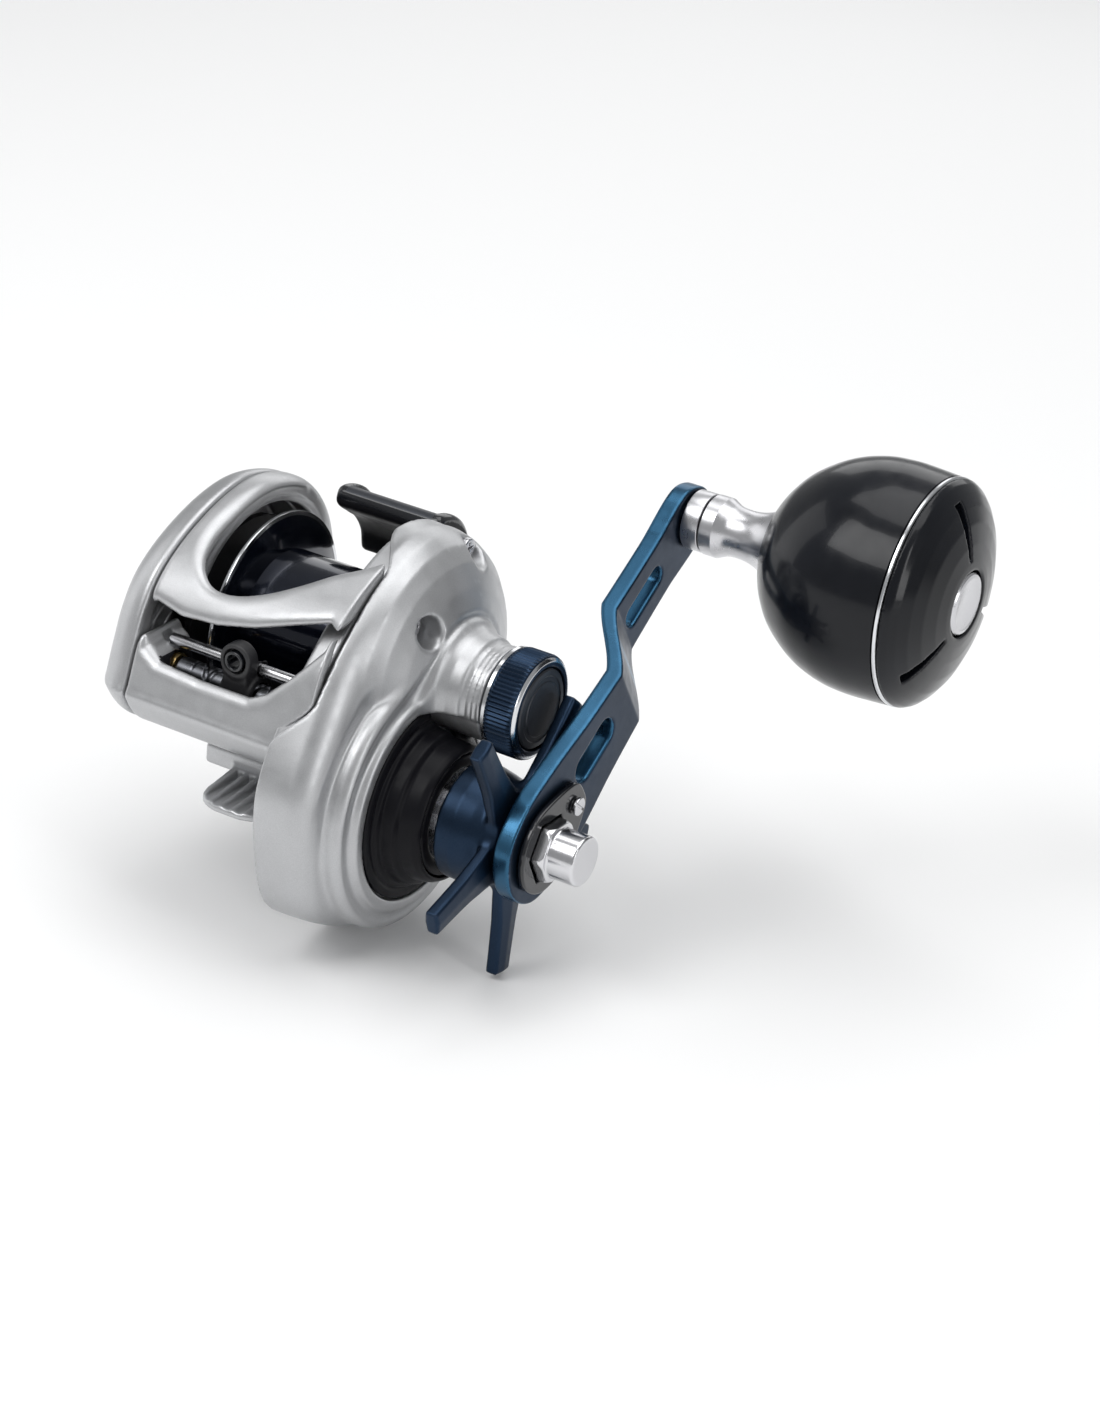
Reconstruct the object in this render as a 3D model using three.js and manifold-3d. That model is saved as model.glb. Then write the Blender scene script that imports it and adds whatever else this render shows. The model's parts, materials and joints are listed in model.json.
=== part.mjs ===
// Low-profile baitcasting reel, left-hand retrieve, with a round power knob.
// Millimetres. +X is the handle side and the direction of every shaft, -Y is the front, where
// the line leaves, and +Z is up. The origin is the middle of the foot's flat underside.
import * as THREE from "three";
import { mergeVertices } from "three/addons/utils/BufferGeometryUtils.js";
import Module from "manifold-3d";

const wasm = await Module();
wasm.setup();

// ---- driving dimensions -------------------------------------------------------------------
const GAP = 0.35; // clearance between pieces that seat on each other
const RUN = 0.3; // clearance round a piece that turns
const BITE = 0.1; // how far two joined lumps of one casting run into each other

const SPOOL_Z = 25; // height of the spool's axis over the foot's underside
const SPOOL_R = 19.9; // flange radius
const SPOOL_HALF = 13; // half of the spool's width
const FLANGE_T = 1.3;
const ARBOR_R = 13.2;
const SHAFT_R = 1.2; // spool shaft
const WALL_X = SPOOL_HALF + 1.2; // inner face of both frame walls

const BODY_R = 25.5; // radius of the body round the spool
const PALM_WALL = 5.5; // thickness of the palm-side frame wall
const GEAR_WALL = 2.6; // thickness of the gear-side frame wall
const HOOD_WALL = 2.4; // thickness of the hood
const SHELL = 1.8; // wall of the two side covers
const PALM_DEPTH = 8.5; // how far the palm cover stands out from its wall
const HOOD_FRONT = 35; // how far the hood reaches forward
const HOOD_LOW = 13.2; // height of the hood's underside over the foot's underside
const SEAM_X = WALL_X - 1.5; // where the gear cover's lip starts, round the frame
const GEAR_X = WALL_X + GEAR_WALL; // outer face of the gear-side wall

const FOOT_LENGTH = 60;
const FOOT_WIDTH = 14.5;
const FOOT_T = 3.2;

const MODULE = 0.4747; // tooth module of the main pair
const DRIVE_TEETH = 84;
const PINION_TEETH = 11;
const DRIVE_ANGLE = 244.8; // direction from the spool's axis to the drive shaft, degrees from +Y
const LW_MODULE = 0.75; // tooth module of the level-wind train
const LW_DRIVE_TEETH = 23;
const LW_IDLER_TEETH = 18;
const LW_WORM_TEETH = 15;
const LW_IDLER_ANGLE = 156; // directions of the two steps of the level-wind train
const LW_WORM_ANGLE = 101;

const DISC_X = GEAR_X + 11.2; // outer face of the gear cover round the drive shaft
const DISC_R = 18; // radius of the black bezel
const CLUTCH_X = DISC_X + 7.5; // end of the one-way clutch's housing
const CLUTCH_R = 8.7; // the one-way clutch itself
const BOSS_X = DISC_X + 9.6; // end of the boss under the cast control knob
const BOSS_R = 9;
const BOSS_THREAD_R = 7.4;
const CAST_R = 9.6;
const CAST_FACE_X = BOSS_X + 7.3;
const CAST_FACE_R = 7.4;
const COVER_SCREWS = [ // outer end, and place across the cover
  { name: "cover_screw_front", x: DISC_X - 3, y: -9.6, z: 37.1 },
  { name: "cover_screw_rear", x: DISC_X - 5.4, y: 10.4, z: 45.2 },
];

const DRIVE_SHAFT_R = 3;
const STAR_TIP_R = 26.5;
const STAR_ARMS = 5;
const ARM_X = CAST_FACE_X + 4.7; // inner face of the handle arm at its hub
const ARM_T = 3.4;
const ARM_LENGTH = 72.4; // drive shaft to knob axis
const ARM_ANGLE = 34.9; // direction of the arm at rest, degrees above +Y
const ARM_OFFSET = 8.4; // how far the arm's outer half steps in towards the body
const KNOB_R = 21.3;
const KNOB_X = ARM_X + 13.4; // where the knob's ball begins
const KNOB_LENGTH = 37.7;
const POST_R = 2.2;
const NUT_X = ARM_X + 12.4; // end of the handle nut

const THUMB_TRAVEL = 4.5;
const THUMB_HALF = WALL_X - 2.7; // half of the thumb bar's width
const CLUTCH_TRAVEL = 1.2; // how far the pinion slides to let the spool go
const GUIDE_TRAVEL = 8; // how far the line guide goes to each side
const GUIDE_HALF = 3.2; // half width of the line guide
const ROD_R = 1.1;
const WORM_R = 2.3;
const DIAL_R = 5.6; // brake dial

const BRAKE_RACE_R = 9.4;
const BRAKE_SHOES = 4;
const SLEEVE_R = 5.2; // sleeve inside the one-way clutch
const STAR_X = ARM_X - 3.7; // inner face of the star's arms
const STAR_T = 2.9;
const STAR_ANGLE = 51; // direction of the star's first arm at rest
const STAR_NUT_R = 4.9;
const STAR_NUT_X = CLUTCH_X + 3.1;
const HUB_R = 10.8; // the handle arm round the drive shaft
const ARM_END_R = 6.6; // the handle arm round the knob's post
const STEP_START = 33; // distances from the drive shaft between which the arm steps in
const STEP_END = 46;
const NUT_HEX_R = 6; // across the corners of the nut, halved
const RETAINER_AT = 9.6; // the retainer's screw, from the drive shaft
const RETAINER_SCREW_R = 0.9;
const SCREW_HEAD_R = 1.9;
const SCREW_SHANK_R = 0.9;
const SCREW_SINK = 1.4; // how deep a screw's head sits in the gear cover
const BEARING_R = 5;
const BUSHING_R = 2.6;
const WORM_JOURNAL_R = 1.5;
const WORM_BORE = WORM_JOURNAL_R + RUN; // the bushings' bore
const STUB_R = 1.5;
const EYE_R = 1.9; // outside of the eye's ring
const EYE_BORE = 1.3;
const PIN_HALF = 0.45; // half of the clutch pin's thickness
const THUMB_TAB_HALF = 0.9;
const THUMB_TAB_Y = SPOOL_R + 1.9;

// ---- places worked out from them ----------------------------------------------------------
const rad = THREE.MathUtils.degToRad;
const polar = (c, r, deg) => ({
  y: c.y + r * Math.cos(rad(deg)),
  z: c.z + r * Math.sin(rad(deg)),
});
const S = { y: 0, z: SPOOL_Z }; // spool axis
const MESH_DISTANCE = (MODULE * (DRIVE_TEETH + PINION_TEETH)) / 2;
const D = polar(S, MESH_DISTANCE, DRIVE_ANGLE); // drive shaft
const I = polar(D, (LW_MODULE * (LW_DRIVE_TEETH + LW_IDLER_TEETH)) / 2, LW_IDLER_ANGLE);
const W = polar(I, (LW_MODULE * (LW_IDLER_TEETH + LW_WORM_TEETH)) / 2, LW_WORM_ANGLE);
const K = polar(D, ARM_LENGTH, ARM_ANGLE); // knob axis
const ROD = { y: W.y + 0.9, z: W.z + 4.7 }; // guide rod
const EYE = { y: W.y - 2.4, z: W.z + 7.1 }; // middle of the line guide's eye
const DIAL = { y: -12, z: SPOOL_Z - 4 };
const PALM_X = -WALL_X - PALM_WALL; // outer face of the palm-side wall
const LW_X = GEAR_X + 0.9; // plane of the level-wind train
const LW_T = 2.4;
const GEAR_PLANE_X = LW_X + LW_T + 0.5; // inner face of the drive gear
const GEAR_T = 4.2;
const GEAR_END_X = GEAR_PLANE_X + GEAR_T;
const ARM_END_X = ARM_X - ARM_OFFSET; // inner face of the arm at the knob
const KNOB_COLLAR_END_X = ARM_END_X + ARM_T + 3.8;

const THUMB_TAB_Z = S.z + 1.6;
const PALM_END_X = PALM_X - PALM_DEPTH;
const HOOD_END_X = SEAM_X - 1; // gear-side end of the hollow in the hood
const PIN_X = GEAR_X + 0.6;
const PINION_GROOVE_X = PIN_X + CLUTCH_TRAVEL + 0.5;
const ARM_FACE_X = ARM_X + ARM_T; // outer face of the arm at its hub
const KNOB_END_X = KNOB_X + KNOB_LENGTH;
const POST_END_X = KNOB_END_X - 5.5;
const KNOB_BORE = POST_R + RUN;
const RING_X = KNOB_END_X - 8.3; // the silver ring between the ball and its cover

// ---- solids -------------------------------------------------------------------------------
const ROUND = 24; // facets of a large round piece
const SMALL_ROUND = 12;
const LARGE_ROUND = 28;

function solid(geometry) {
  const plain = geometry.index ? geometry.toNonIndexed() : geometry;
  const bare = new THREE.BufferGeometry().setAttribute("position", plain.getAttribute("position"));
  const merged = mergeVertices(bare, 1e-4);
  return new wasm.Manifold(
    new wasm.Mesh({
      numProp: 3,
      vertProperties: merged.attributes.position.array,
      triVerts: new Uint32Array(merged.index.array),
    }),
  );
}

function geometryOf(manifold) {
  const m = manifold.getMesh();
  const position = new Float32Array(m.numVert * 3);
  for (let i = 0; i < m.numVert; i++) {
    position.set(m.vertProperties.subarray(i * m.numProp, i * m.numProp + 3), i * 3);
  }
  const g = new THREE.BufferGeometry();
  g.setAttribute("position", new THREE.BufferAttribute(position, 3));
  g.setIndex(new THREE.BufferAttribute(m.triVerts, 1));
  return g;
}

const join = (first, ...rest) => rest.reduce((a, b) => a.add(b), first);
const cut = (first, ...rest) => rest.reduce((a, b) => a.subtract(b), first);

const YZ_TO_WORLD = new THREE.Matrix4().makeBasis(
  new THREE.Vector3(0, 1, 0),
  new THREE.Vector3(0, 0, 1),
  new THREE.Vector3(1, 0, 0),
);

// A shape drawn in (y, z), extruded along X from x0 to x1, with an optional rounded edge on one
// end or both: the edge starts at the outline and leans inwards.
function plate(shape, x0, x1, segments = 8, edge = 0) {
  const g = new THREE.ExtrudeGeometry(shape, {
    depth: x1 - x0 - 2 * edge,
    curveSegments: segments,
    bevelEnabled: edge > 0,
    bevelThickness: edge,
    bevelSize: edge,
    bevelOffset: -edge,
    bevelSegments: 2,
  });
  g.translate(0, 0, x0 + edge);
  return solid(g.applyMatrix4(YZ_TO_WORLD));
}

// A profile of (radius, x) pairs turned about the line through c along X.
function turned(profile, c, segments = ROUND) {
  const points = profile.map(([r, x]) => new THREE.Vector2(r, x));
  const g = new THREE.LatheGeometry(points, segments);
  g.rotateZ(-Math.PI / 2);
  const s = solid(g.translate(0, c.y, c.z));
  return s.volume() < 0 ? flipped(s) : s;
}

function flipped(s) {
  const m = s.getMesh();
  const t = new Uint32Array(m.triVerts);
  for (let i = 0; i < t.length; i += 3) [t[i + 1], t[i + 2]] = [t[i + 2], t[i + 1]];
  return new wasm.Manifold(
    new wasm.Mesh({ numProp: 3, vertProperties: m.vertProperties, triVerts: t }),
  );
}

const cylinder = (r, x0, x1, c, segments = ROUND) =>
  turned([[0, x0], [r, x0], [r, x1], [0, x1]], c, segments);
const tube = (inner, outer, x0, x1, c, segments = ROUND) =>
  turned([[inner, x0], [outer, x0], [outer, x1], [inner, x1], [inner, x0]], c, segments);

function block(x0, x1, y0, y1, z0, z1) {
  const g = new THREE.BoxGeometry(x1 - x0, y1 - y0, z1 - z0);
  return solid(g.translate((x0 + x1) / 2, (y0 + y1) / 2, (z0 + z1) / 2));
}

// A closed smooth outline through (y, z) points.
function smoothShape(points, divisions = 36) {
  const curve = new THREE.CatmullRomCurve3(
    points.map(([y, z]) => new THREE.Vector3(y, z, 0)),
    true,
    "centripetal",
  );
  return new THREE.Shape(curve.getPoints(divisions).slice(0, -1).map((p) => new THREE.Vector2(p.x, p.y)));
}

const polygon = (points) => new THREE.Shape(points.map(([y, z]) => new THREE.Vector2(y, z)));

function circleShape(c, r, segments = ROUND) {
  const points = [];
  for (let i = 0; i < segments; i++) {
    const a = (2 * Math.PI * i) / segments;
    points.push([c.y + r * Math.cos(a), c.z + r * Math.sin(a)]);
  }
  return polygon(points);
}

// A spur gear's outline. Tooth k is centred on phase + k pitches. Straight-sided teeth, thinned
// for backlash, with their corners broken.
function gearShape(c, teeth, module, phase) {
  const pitch = (module * teeth) / 2;
  const root = pitch - 1.15 * module;
  const tip = pitch + 0.8 * module;
  const step = (2 * Math.PI) / teeth;
  const points = [];
  for (let k = 0; k < teeth; k++) {
    const middle = phase + k * step;
    for (const [share, r] of [[-0.34, root], [-0.09, tip], [0.09, tip], [0.34, root]]) {
      const a = middle + share * step;
      points.push([c.y + r * Math.cos(a), c.z + r * Math.sin(a)]);
    }
  }
  return polygon(points);
}

// The phase that puts gear b's gap on gear a's tooth, with b in direction deg from a.
function meshPhase(teethA, phaseA, teethB, deg) {
  const t = rad(deg);
  return t + Math.PI - Math.PI / teethB - (teethA / teethB) * (phaseA - t);
}

// ---- materials ----------------------------------------------------------------------------
const finish = (color, roughness, metalness) =>
  new THREE.MeshStandardMaterial({ color, roughness, metalness });
const SILVER = finish(0xc9cbce, 0.35, 0.6);
const BLACK = finish(0x101114, 0.3, 0.1);
const BLUE = finish(0x24486b, 0.35, 0.8);
const STEEL = finish(0xb9bcc0, 0.25, 1);
const BRASS = finish(0xb08d4a, 0.35, 1);
const CARBON = finish(0x1b1c1e, 0.8, 0);
const PLASTIC = finish(0x1a1b1e, 0.5, 0);

const reel = new THREE.Group();
const group = (name) => {
  const g = new THREE.Group();
  g.name = name;
  reel.add(g);
  return g;
};
function piece(parent, name, manifold, material) {
  const mesh = new THREE.Mesh(geometryOf(manifold), material);
  mesh.name = name;
  parent.add(mesh);
}

// ---- outlines of the body -----------------------------------------------------------------
const roundPoints = (c, r, degrees) =>
  degrees.map((deg) => {
    const p = polar(c, r, deg);
    return [p.y, p.z];
  });

// Side view of the frame: round behind and over the spool, drawn forward into the hood.
function frameOutline(inset = 0) {
  const front = HOOD_FRONT - inset;
  return smoothShape([
    ...roundPoints(S, BODY_R - inset, [-60, -30, 0, 30, 60, 85, 105]),
    [-18.5 + inset * 0.5, S.z + 20 - inset],
    [-26 + inset * 0.7, S.z + 14.5 - inset],
    [-30 + inset, S.z + 8.5],
    [-33 + inset, S.z + 1],
    [-front, S.z - 5],
    [-front + 0.8, HOOD_LOW + 3 + inset * 0.5],
    [-front + 4, HOOD_LOW + inset],
    [-20, HOOD_LOW - 5 + inset],
    [-8, 3.2 + inset],
    [5, 2.6 + inset],
  ]);
}

// Side view of the gear cover: the spool's round, and the drum round the drive gear below it.
function gearOutline(inset = 0) {
  return smoothShape(
    [
      ...roundPoints(S, BODY_R - inset, [-20, 5, 35, 65, 92]),
      [-15 + inset * 0.6, S.z + 20.3 - inset],
      [-26 + inset * 0.8, S.z + 11.5 - inset],
      [-34.5 + inset * 0.9, S.z],
      [D.y - 30.5 + inset, D.z + 8],
      [D.y - 29.5 + inset, D.z - 4],
      [D.y - 26 + inset, D.z - 14.5 + inset * 0.3],
      [D.y - 19 + inset * 0.5, D.z - 20 + inset],
      [D.y - 4, D.z - 25.8 + inset],
      [D.y + 12 - inset * 0.4, D.z - 22.5 + inset],
      [D.y + 23 - inset * 0.7, D.z - 11 + inset * 0.7],
      [20 - inset * 0.8, S.z - 17 + inset * 0.6],
    ],
    40,
  );
}

// ---- frame --------------------------------------------------------------------------------
function foot() {
  const half = FOOT_LENGTH / 2;
  const w = FOOT_WIDTH / 2;
  const toe = 1.2; // thickness at both ends
  const side = polygon([
    [-half, 0],
    [half, 0],
    [half, toe],
    [half / 2, FOOT_T],
    [-half / 2, FOOT_T],
    [-half, toe],
  ]);
  const plan = new THREE.Shape();
  plan.moveTo(-w, half - w);
  plan.lineTo(-w, -half + w);
  plan.quadraticCurveTo(-w, -half, 0, -half);
  plan.quadraticCurveTo(w, -half, w, -half + w);
  plan.lineTo(w, half - w);
  plan.quadraticCurveTo(w, half, 0, half);
  plan.quadraticCurveTo(-w, half, -w, half - w);
  const g = new THREE.ExtrudeGeometry(plan, { depth: 8, bevelEnabled: false, curveSegments: 6 });
  return plate(side, -w, w).intersect(solid(g.translate(0, 0, -2)));
}

// The window in the hood, drawn in (x, z) and cut through along Y.
function windowCutter() {
  const z = S.z;
  const right = GEAR_X + 3;
  const outline = polygon([
    [-18.5, z + 4.5],
    [-15.5, z + 1.6],
    [-5.5, z + 0.8],
    [7, z + 1.2],
    [12.5, z + 6.5],
    [right, z + 12],
    [right, z + 16.5],
    [4, z + 11.8],
    [-5, z + 9],
    [-12.6, z + 8.8],
    [-18.5, z + 9.6],
  ]);
  const g = new THREE.ExtrudeGeometry(outline, { depth: 30, bevelEnabled: false });
  g.rotateX(Math.PI / 2);
  return solid(g.translate(0, -21, 0)).intersect(block(-20, SEAM_X, -60, 0, 0, 80));
}

// The mouth over the spool, drawn in (x, y) and cut down along Z. Its front edge slants, so the
// crossbar in front of it runs from low at the palm side to high at the gear side.
function mouthCutter() {
  const outline = polygon([
    [-WALL_X, 40],
    [-WALL_X, -22],
    [-8, -24],
    [0, -22.6],
    [7, -18.5],
    [WALL_X, -12],
    [WALL_X, 40],
  ]);
  const g = new THREE.ExtrudeGeometry(outline, { depth: 60, bevelEnabled: false });
  return solid(g.translate(0, 0, S.z - 4));
}

function frame() {
  const wallShape = gearOutline(SHELL + GAP);
  const wallStart = SEAM_X - GAP;
  const hood = plate(frameOutline(), PALM_X, wallStart + BITE, 8);
  const body = join(hood, plate(wallShape, wallStart, GEAR_X));
  const hollow = plate(frameOutline(HOOD_WALL), -WALL_X, HOOD_END_X, 8);
  const rear = block(-WALL_X, WALL_X, 12, 40, 8, 70);
  const reach = GUIDE_TRAVEL + GUIDE_HALF + 0.6;
  const guideLane = block(-reach, reach, W.y - 4.3, W.y, W.z - 3, EYE.z + 3.5);
  const through = (r, c) => cylinder(r, WALL_X - 2, GEAR_X + 1, c, SMALL_ROUND);
  const holes = join(
    through(5.2, S),
    through(BEARING_R + RUN, D),
    cylinder(ROD_R + GAP, -WALL_X - 3, WALL_X + 1.4, ROD, SMALL_ROUND),
    cylinder(BUSHING_R + GAP, -WALL_X - 3, GEAR_X + 1, W, SMALL_ROUND),
    cylinder(STUB_R + GAP, WALL_X + 0.8, GEAR_X + 1, I, SMALL_ROUND),
    ...COVER_SCREWS.map((screw) => cylinder(SCREW_SHANK_R + GAP, WALL_X + 0.8, GEAR_X + 1, screw, 12)),
  );
  let made = cut(body, hollow, windowCutter(), mouthCutter(), rear, guideLane);
  const floor = block(-WALL_X - 1, SEAM_X - 2, -16, 15, 1.2, 5.2);
  const rearBar = block(-WALL_X - 1, SEAM_X + 1, 18.5, 22, 11, 15.5).intersect(body);
  made = join(made, foot(), floor, rearBar);
  // a slot in the gear-side wall lets the thumb bar reach the clutch plate
  const slot = block(
    WALL_X - 0.5,
    GEAR_X + 1,
    THUMB_TAB_Y - THUMB_TAB_HALF - GAP,
    THUMB_TAB_Y + 10,
    THUMB_TAB_Z - 2 - THUMB_TRAVEL - GAP,
    THUMB_TAB_Z + 2 + GAP,
  );
  return cut(made, slot, holes, cylinder(SPOOL_R + 0.8, PALM_X - 1, WALL_X, S));
}

// ---- covers -------------------------------------------------------------------------------

function palmCover() {
  const shell = plate(frameOutline(0.2), PALM_END_X, PALM_X + 6, 8, 5).intersect(
    block(PALM_END_X - 1, PALM_X - GAP, -60, 60, -20, 70),
  );
  const inner = plate(frameOutline(4), PALM_END_X + SHELL, PALM_X + 1, 8);
  const hub = tube(BEARING_R + GAP, BEARING_R + 2, PALM_END_X + 1, PALM_X - 1.2, S, SMALL_ROUND);
  const dialHole = cylinder(DIAL_R + RUN, PALM_END_X - 1, PALM_END_X + SHELL + 1, DIAL, SMALL_ROUND);
  const dialSeat = cylinder(DIAL_R + 1.6, PALM_END_X + 0.5, PALM_END_X + 4, DIAL, SMALL_ROUND);
  return cut(join(cut(shell, inner), dialSeat, hub), dialHole);
}

// The part of the gear cover that is turned about the spool's axis: a shoulder and the boss.
function shoulder(inset = 0) {
  const x = -inset;
  return turned(
    [
      [0, SEAM_X + 4],
      [BODY_R - 0.3 - inset, SEAM_X + 4],
      [BODY_R - 0.7 - inset, DISC_X - 8.4 + x],
      [BODY_R - 3.2 - inset, DISC_X - 5 + x],
      [15.5 - inset, DISC_X - 0.6 + x],
      [BOSS_R + 1.4 - inset, DISC_X + 2 + x],
      [0, DISC_X + 2 + x],
    ],
    S,
  );
}

function drum(inset = 0) {
  const x = -inset;
  return turned(
    [
      [0, SEAM_X + 6],
      [26 - inset, SEAM_X + 6],
      [25.4 - inset, DISC_X - 6 + x],
      [24, DISC_X - 3.2 + x],
      [23.4 - inset * 0.2, DISC_X - 1.6 + x],
      [21.6 - inset * 0.2, DISC_X + x],
      [0, DISC_X + x],
    ],
    D,
    LARGE_ROUND,
  );
}

function gearCover() {
  const flank = plate(gearOutline(), SEAM_X - 6, DISC_X - 4.6, 8, 3.6).intersect(
    block(SEAM_X, BOSS_X, -60, 60, -40, 70),
  );
  const outside = join(flank, shoulder(), drum());
  const boss = join(
    cylinder(BOSS_R, DISC_X - 6, BOSS_X, S),
    cylinder(BOSS_THREAD_R, BOSS_X - 1, CAST_FACE_X - 3.3, S),
  );
  const housing = cylinder(CLUTCH_R + GAP + 2.3, DISC_X - 2.4, CLUTCH_X, D);
  const recess = cylinder(DISC_R + GAP, DISC_X - 1.4, DISC_X + 10, D, LARGE_ROUND);
  const flankHollow = plate(gearOutline(SHELL), SEAM_X - 1, LW_X + LW_T + 0.8, 8);
  const gearHollow = cylinder(21.2, SEAM_X + 3.3, GEAR_END_X + 0.8, D, LARGE_ROUND);
  const pinionHollow = cylinder(6.6, SEAM_X + 3.3, DISC_X + 0.4, S, SMALL_ROUND);
  const overDisc = cylinder(DISC_R + 2.6, SEAM_X, BOSS_X, D, LARGE_ROUND);
  const shoulderHollow = shoulder(SHELL + 0.4).subtract(overDisc);
  const bores = join(
    cylinder(CLUTCH_R + GAP, DISC_X - 4, CLUTCH_X + 1, D, 20),
    cylinder(BEARING_R + GAP, DISC_X, BOSS_X - 3.6, S, SMALL_ROUND),
    cylinder(3, DISC_X, CAST_FACE_X, S, SMALL_ROUND),
    cylinder(BEARING_R + GAP, CAST_FACE_X - 6.4, CAST_FACE_X, S, SMALL_ROUND),
  );
  const shellSolid = join(outside.subtract(recess), boss, housing);
  const posts = COVER_SCREWS.map((s) =>
    cylinder(SCREW_HEAD_R + 1.3, GEAR_X + GAP, s.x - 1, s, 16),
  );
  const screwHoles = COVER_SCREWS.flatMap((s) => [
    cylinder(SCREW_HEAD_R + GAP, s.x - SCREW_SINK - 1.6, BOSS_X, s, 16),
    cylinder(SCREW_SHANK_R + GAP, WALL_X, s.x, s, 12),
  ]);
  const room = join(flankHollow, gearHollow, pinionHollow, shoulderHollow);
  const open = cut(shellSolid, room, bores);
  const frameRoom = plate(gearOutline(SHELL), SEAM_X - 1, GEAR_X + GAP);
  return cut(join(open, ...posts), ...screwHoles, frameRoom);
}

function bezel() {
  const inner = CLUTCH_R + GAP + 2.3 + GAP;
  const ring = turned(
    [
      [inner, DISC_X - 1.1],
      [DISC_R, DISC_X - 1.1],
      [DISC_R, DISC_X],
      [16.4, DISC_X + 0.7],
      [14.6, DISC_X + 1],
      [14.2, DISC_X + 3.4],
      [13, DISC_X + 4],
      [12.6, CLUTCH_X - 0.9],
      [inner, CLUTCH_X + 0.2],
      [inner, DISC_X - 1.1],
    ],
    D,
    LARGE_ROUND,
  );
  return cut(ring, cylinder(BOSS_R + GAP + 0.2, DISC_X - 8, BOSS_X, S), shoulder(-GAP));
}

// ---- bearings and small turned parts ------------------------------------------------------
const bearing = (bore, x0, x1, c) =>
  turned(
    [
      [bore, x0],
      [BEARING_R, x0],
      [BEARING_R, x1],
      [bore, x1],
      [bore, x0],
    ],
    c,
    SMALL_ROUND,
  );

function spool() {
  const flange = SPOOL_HALF - FLANGE_T;
  const half = (sign) => [
    [ARBOR_R, sign * (flange - 0.8)],
    [SPOOL_R - 1.6, sign * (flange + 0.2)],
    [SPOOL_R, sign * (SPOOL_HALF - 0.6)],
    [SPOOL_R, sign * SPOOL_HALF],
    [ARBOR_R - 1.4, sign * SPOOL_HALF],
    [ARBOR_R - 1.4, sign],
    [3.6, sign],
    [3.6, sign * 7],
    [SHAFT_R + GAP, sign * 7],
  ];
  const left = half(-1);
  const right = half(1).reverse();
  return turned([...left, ...right, left[0]], S, LARGE_ROUND);
}

function spoolShaft() {
  const shaft = turned(
    [
      [0, PALM_END_X + 2.7],
      [SHAFT_R, PALM_END_X + 2.7],
      [SHAFT_R, CAST_FACE_X - 4.6],
      [0, CAST_FACE_X - 4.6],
    ],
    S,
    SMALL_ROUND,
  );
  const half = PIN_HALF + 0.25;
  return shaft.subtract(block(PIN_X - half, PIN_X + half, -5, 5, S.z - half, S.z + half));
}

function pinion() {
  const gear = plate(
    gearShape(S, PINION_TEETH, MODULE, PINION_PHASE),
    PINION_GROOVE_X + 1.4,
    GEAR_END_X + 1.6,
  );
  const blank = turned(
    [
      [0, PIN_X - 0.3],
      [3, PIN_X - 0.3],
      [3, PINION_GROOVE_X],
      [1.95, PINION_GROOVE_X],
      [1.95, GEAR_END_X + 2.4],
      [2.1, GEAR_END_X + 2.4],
      [2.1, BOSS_X - 7.4],
      [0, BOSS_X - 7.4],
    ],
    S,
    SMALL_ROUND,
  );
  const bore = cylinder(SHAFT_R + 0.25, 0, 50, S, SMALL_ROUND);
  const slot = block(0, PIN_X + PIN_HALF + RUN, -5, 5, S.z - PIN_HALF - RUN, S.z + PIN_HALF + RUN);
  return cut(join(blank, gear), bore, slot);
}

function clutchPin() {
  return block(PIN_X - PIN_HALF, PIN_X + PIN_HALF, -2.7, 2.7, S.z - PIN_HALF, S.z + PIN_HALF);
}

// A fork that straddles the pinion's groove from above and slides with it.
function yoke() {
  const z = S.z;
  const shape = polygon([
    [-5.4, z + 0.1],
    [-5.4, z + 3],
    [-8.5, z + 5.5],
    [-8.5, z + 8],
    [8.5, z + 8],
    [8.5, z + 5.5],
    [5.4, z + 3],
    [5.4, z + 0.1],
  ]);
  const mouth = join(
    cylinder(1.95 + RUN, 0, 50, S, SMALL_ROUND),
    block(0, 50, -1.95 - RUN, 1.95 + RUN, z - 5, z),
  );
  return plate(shape, PINION_GROOVE_X + RUN, PINION_GROOVE_X + 1.1).subtract(mouth);
}

function brakeHub() {
  const core = tube(SHAFT_R + GAP, 3.4, -SPOOL_HALF - 4.4, -SPOOL_HALF - 0.6, S, SMALL_ROUND);
  const arm = block(-SPOOL_HALF - 3.6, -SPOOL_HALF - 1.6, 3, BRAKE_RACE_R - 1.6, -1, 1);
  const shoe = block(-SPOOL_HALF - 4, -SPOOL_HALF - 1.2, BRAKE_RACE_R - 3.4, BRAKE_RACE_R - 0.7, -1.5, 1.5);
  const arms = [];
  for (let k = 0; k < BRAKE_SHOES; k++) {
    arms.push(join(arm, shoe).rotate([(360 / BRAKE_SHOES) * k, 0, 0]).translate([0, 0, S.z]));
  }
  return join(core, ...arms);
}

// ---- drive train --------------------------------------------------------------------------
const DRIVE_PHASE = 0;
const PINION_PHASE = meshPhase(DRIVE_TEETH, DRIVE_PHASE, PINION_TEETH, DRIVE_ANGLE - 180);
const IDLER_PHASE = meshPhase(LW_DRIVE_TEETH, 0, LW_IDLER_TEETH, LW_IDLER_ANGLE);
const WORM_PHASE = meshPhase(LW_IDLER_TEETH, IDLER_PHASE, LW_WORM_TEETH, LW_WORM_ANGLE);
const SHAFT_BORE = DRIVE_SHAFT_R + GAP;

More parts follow.
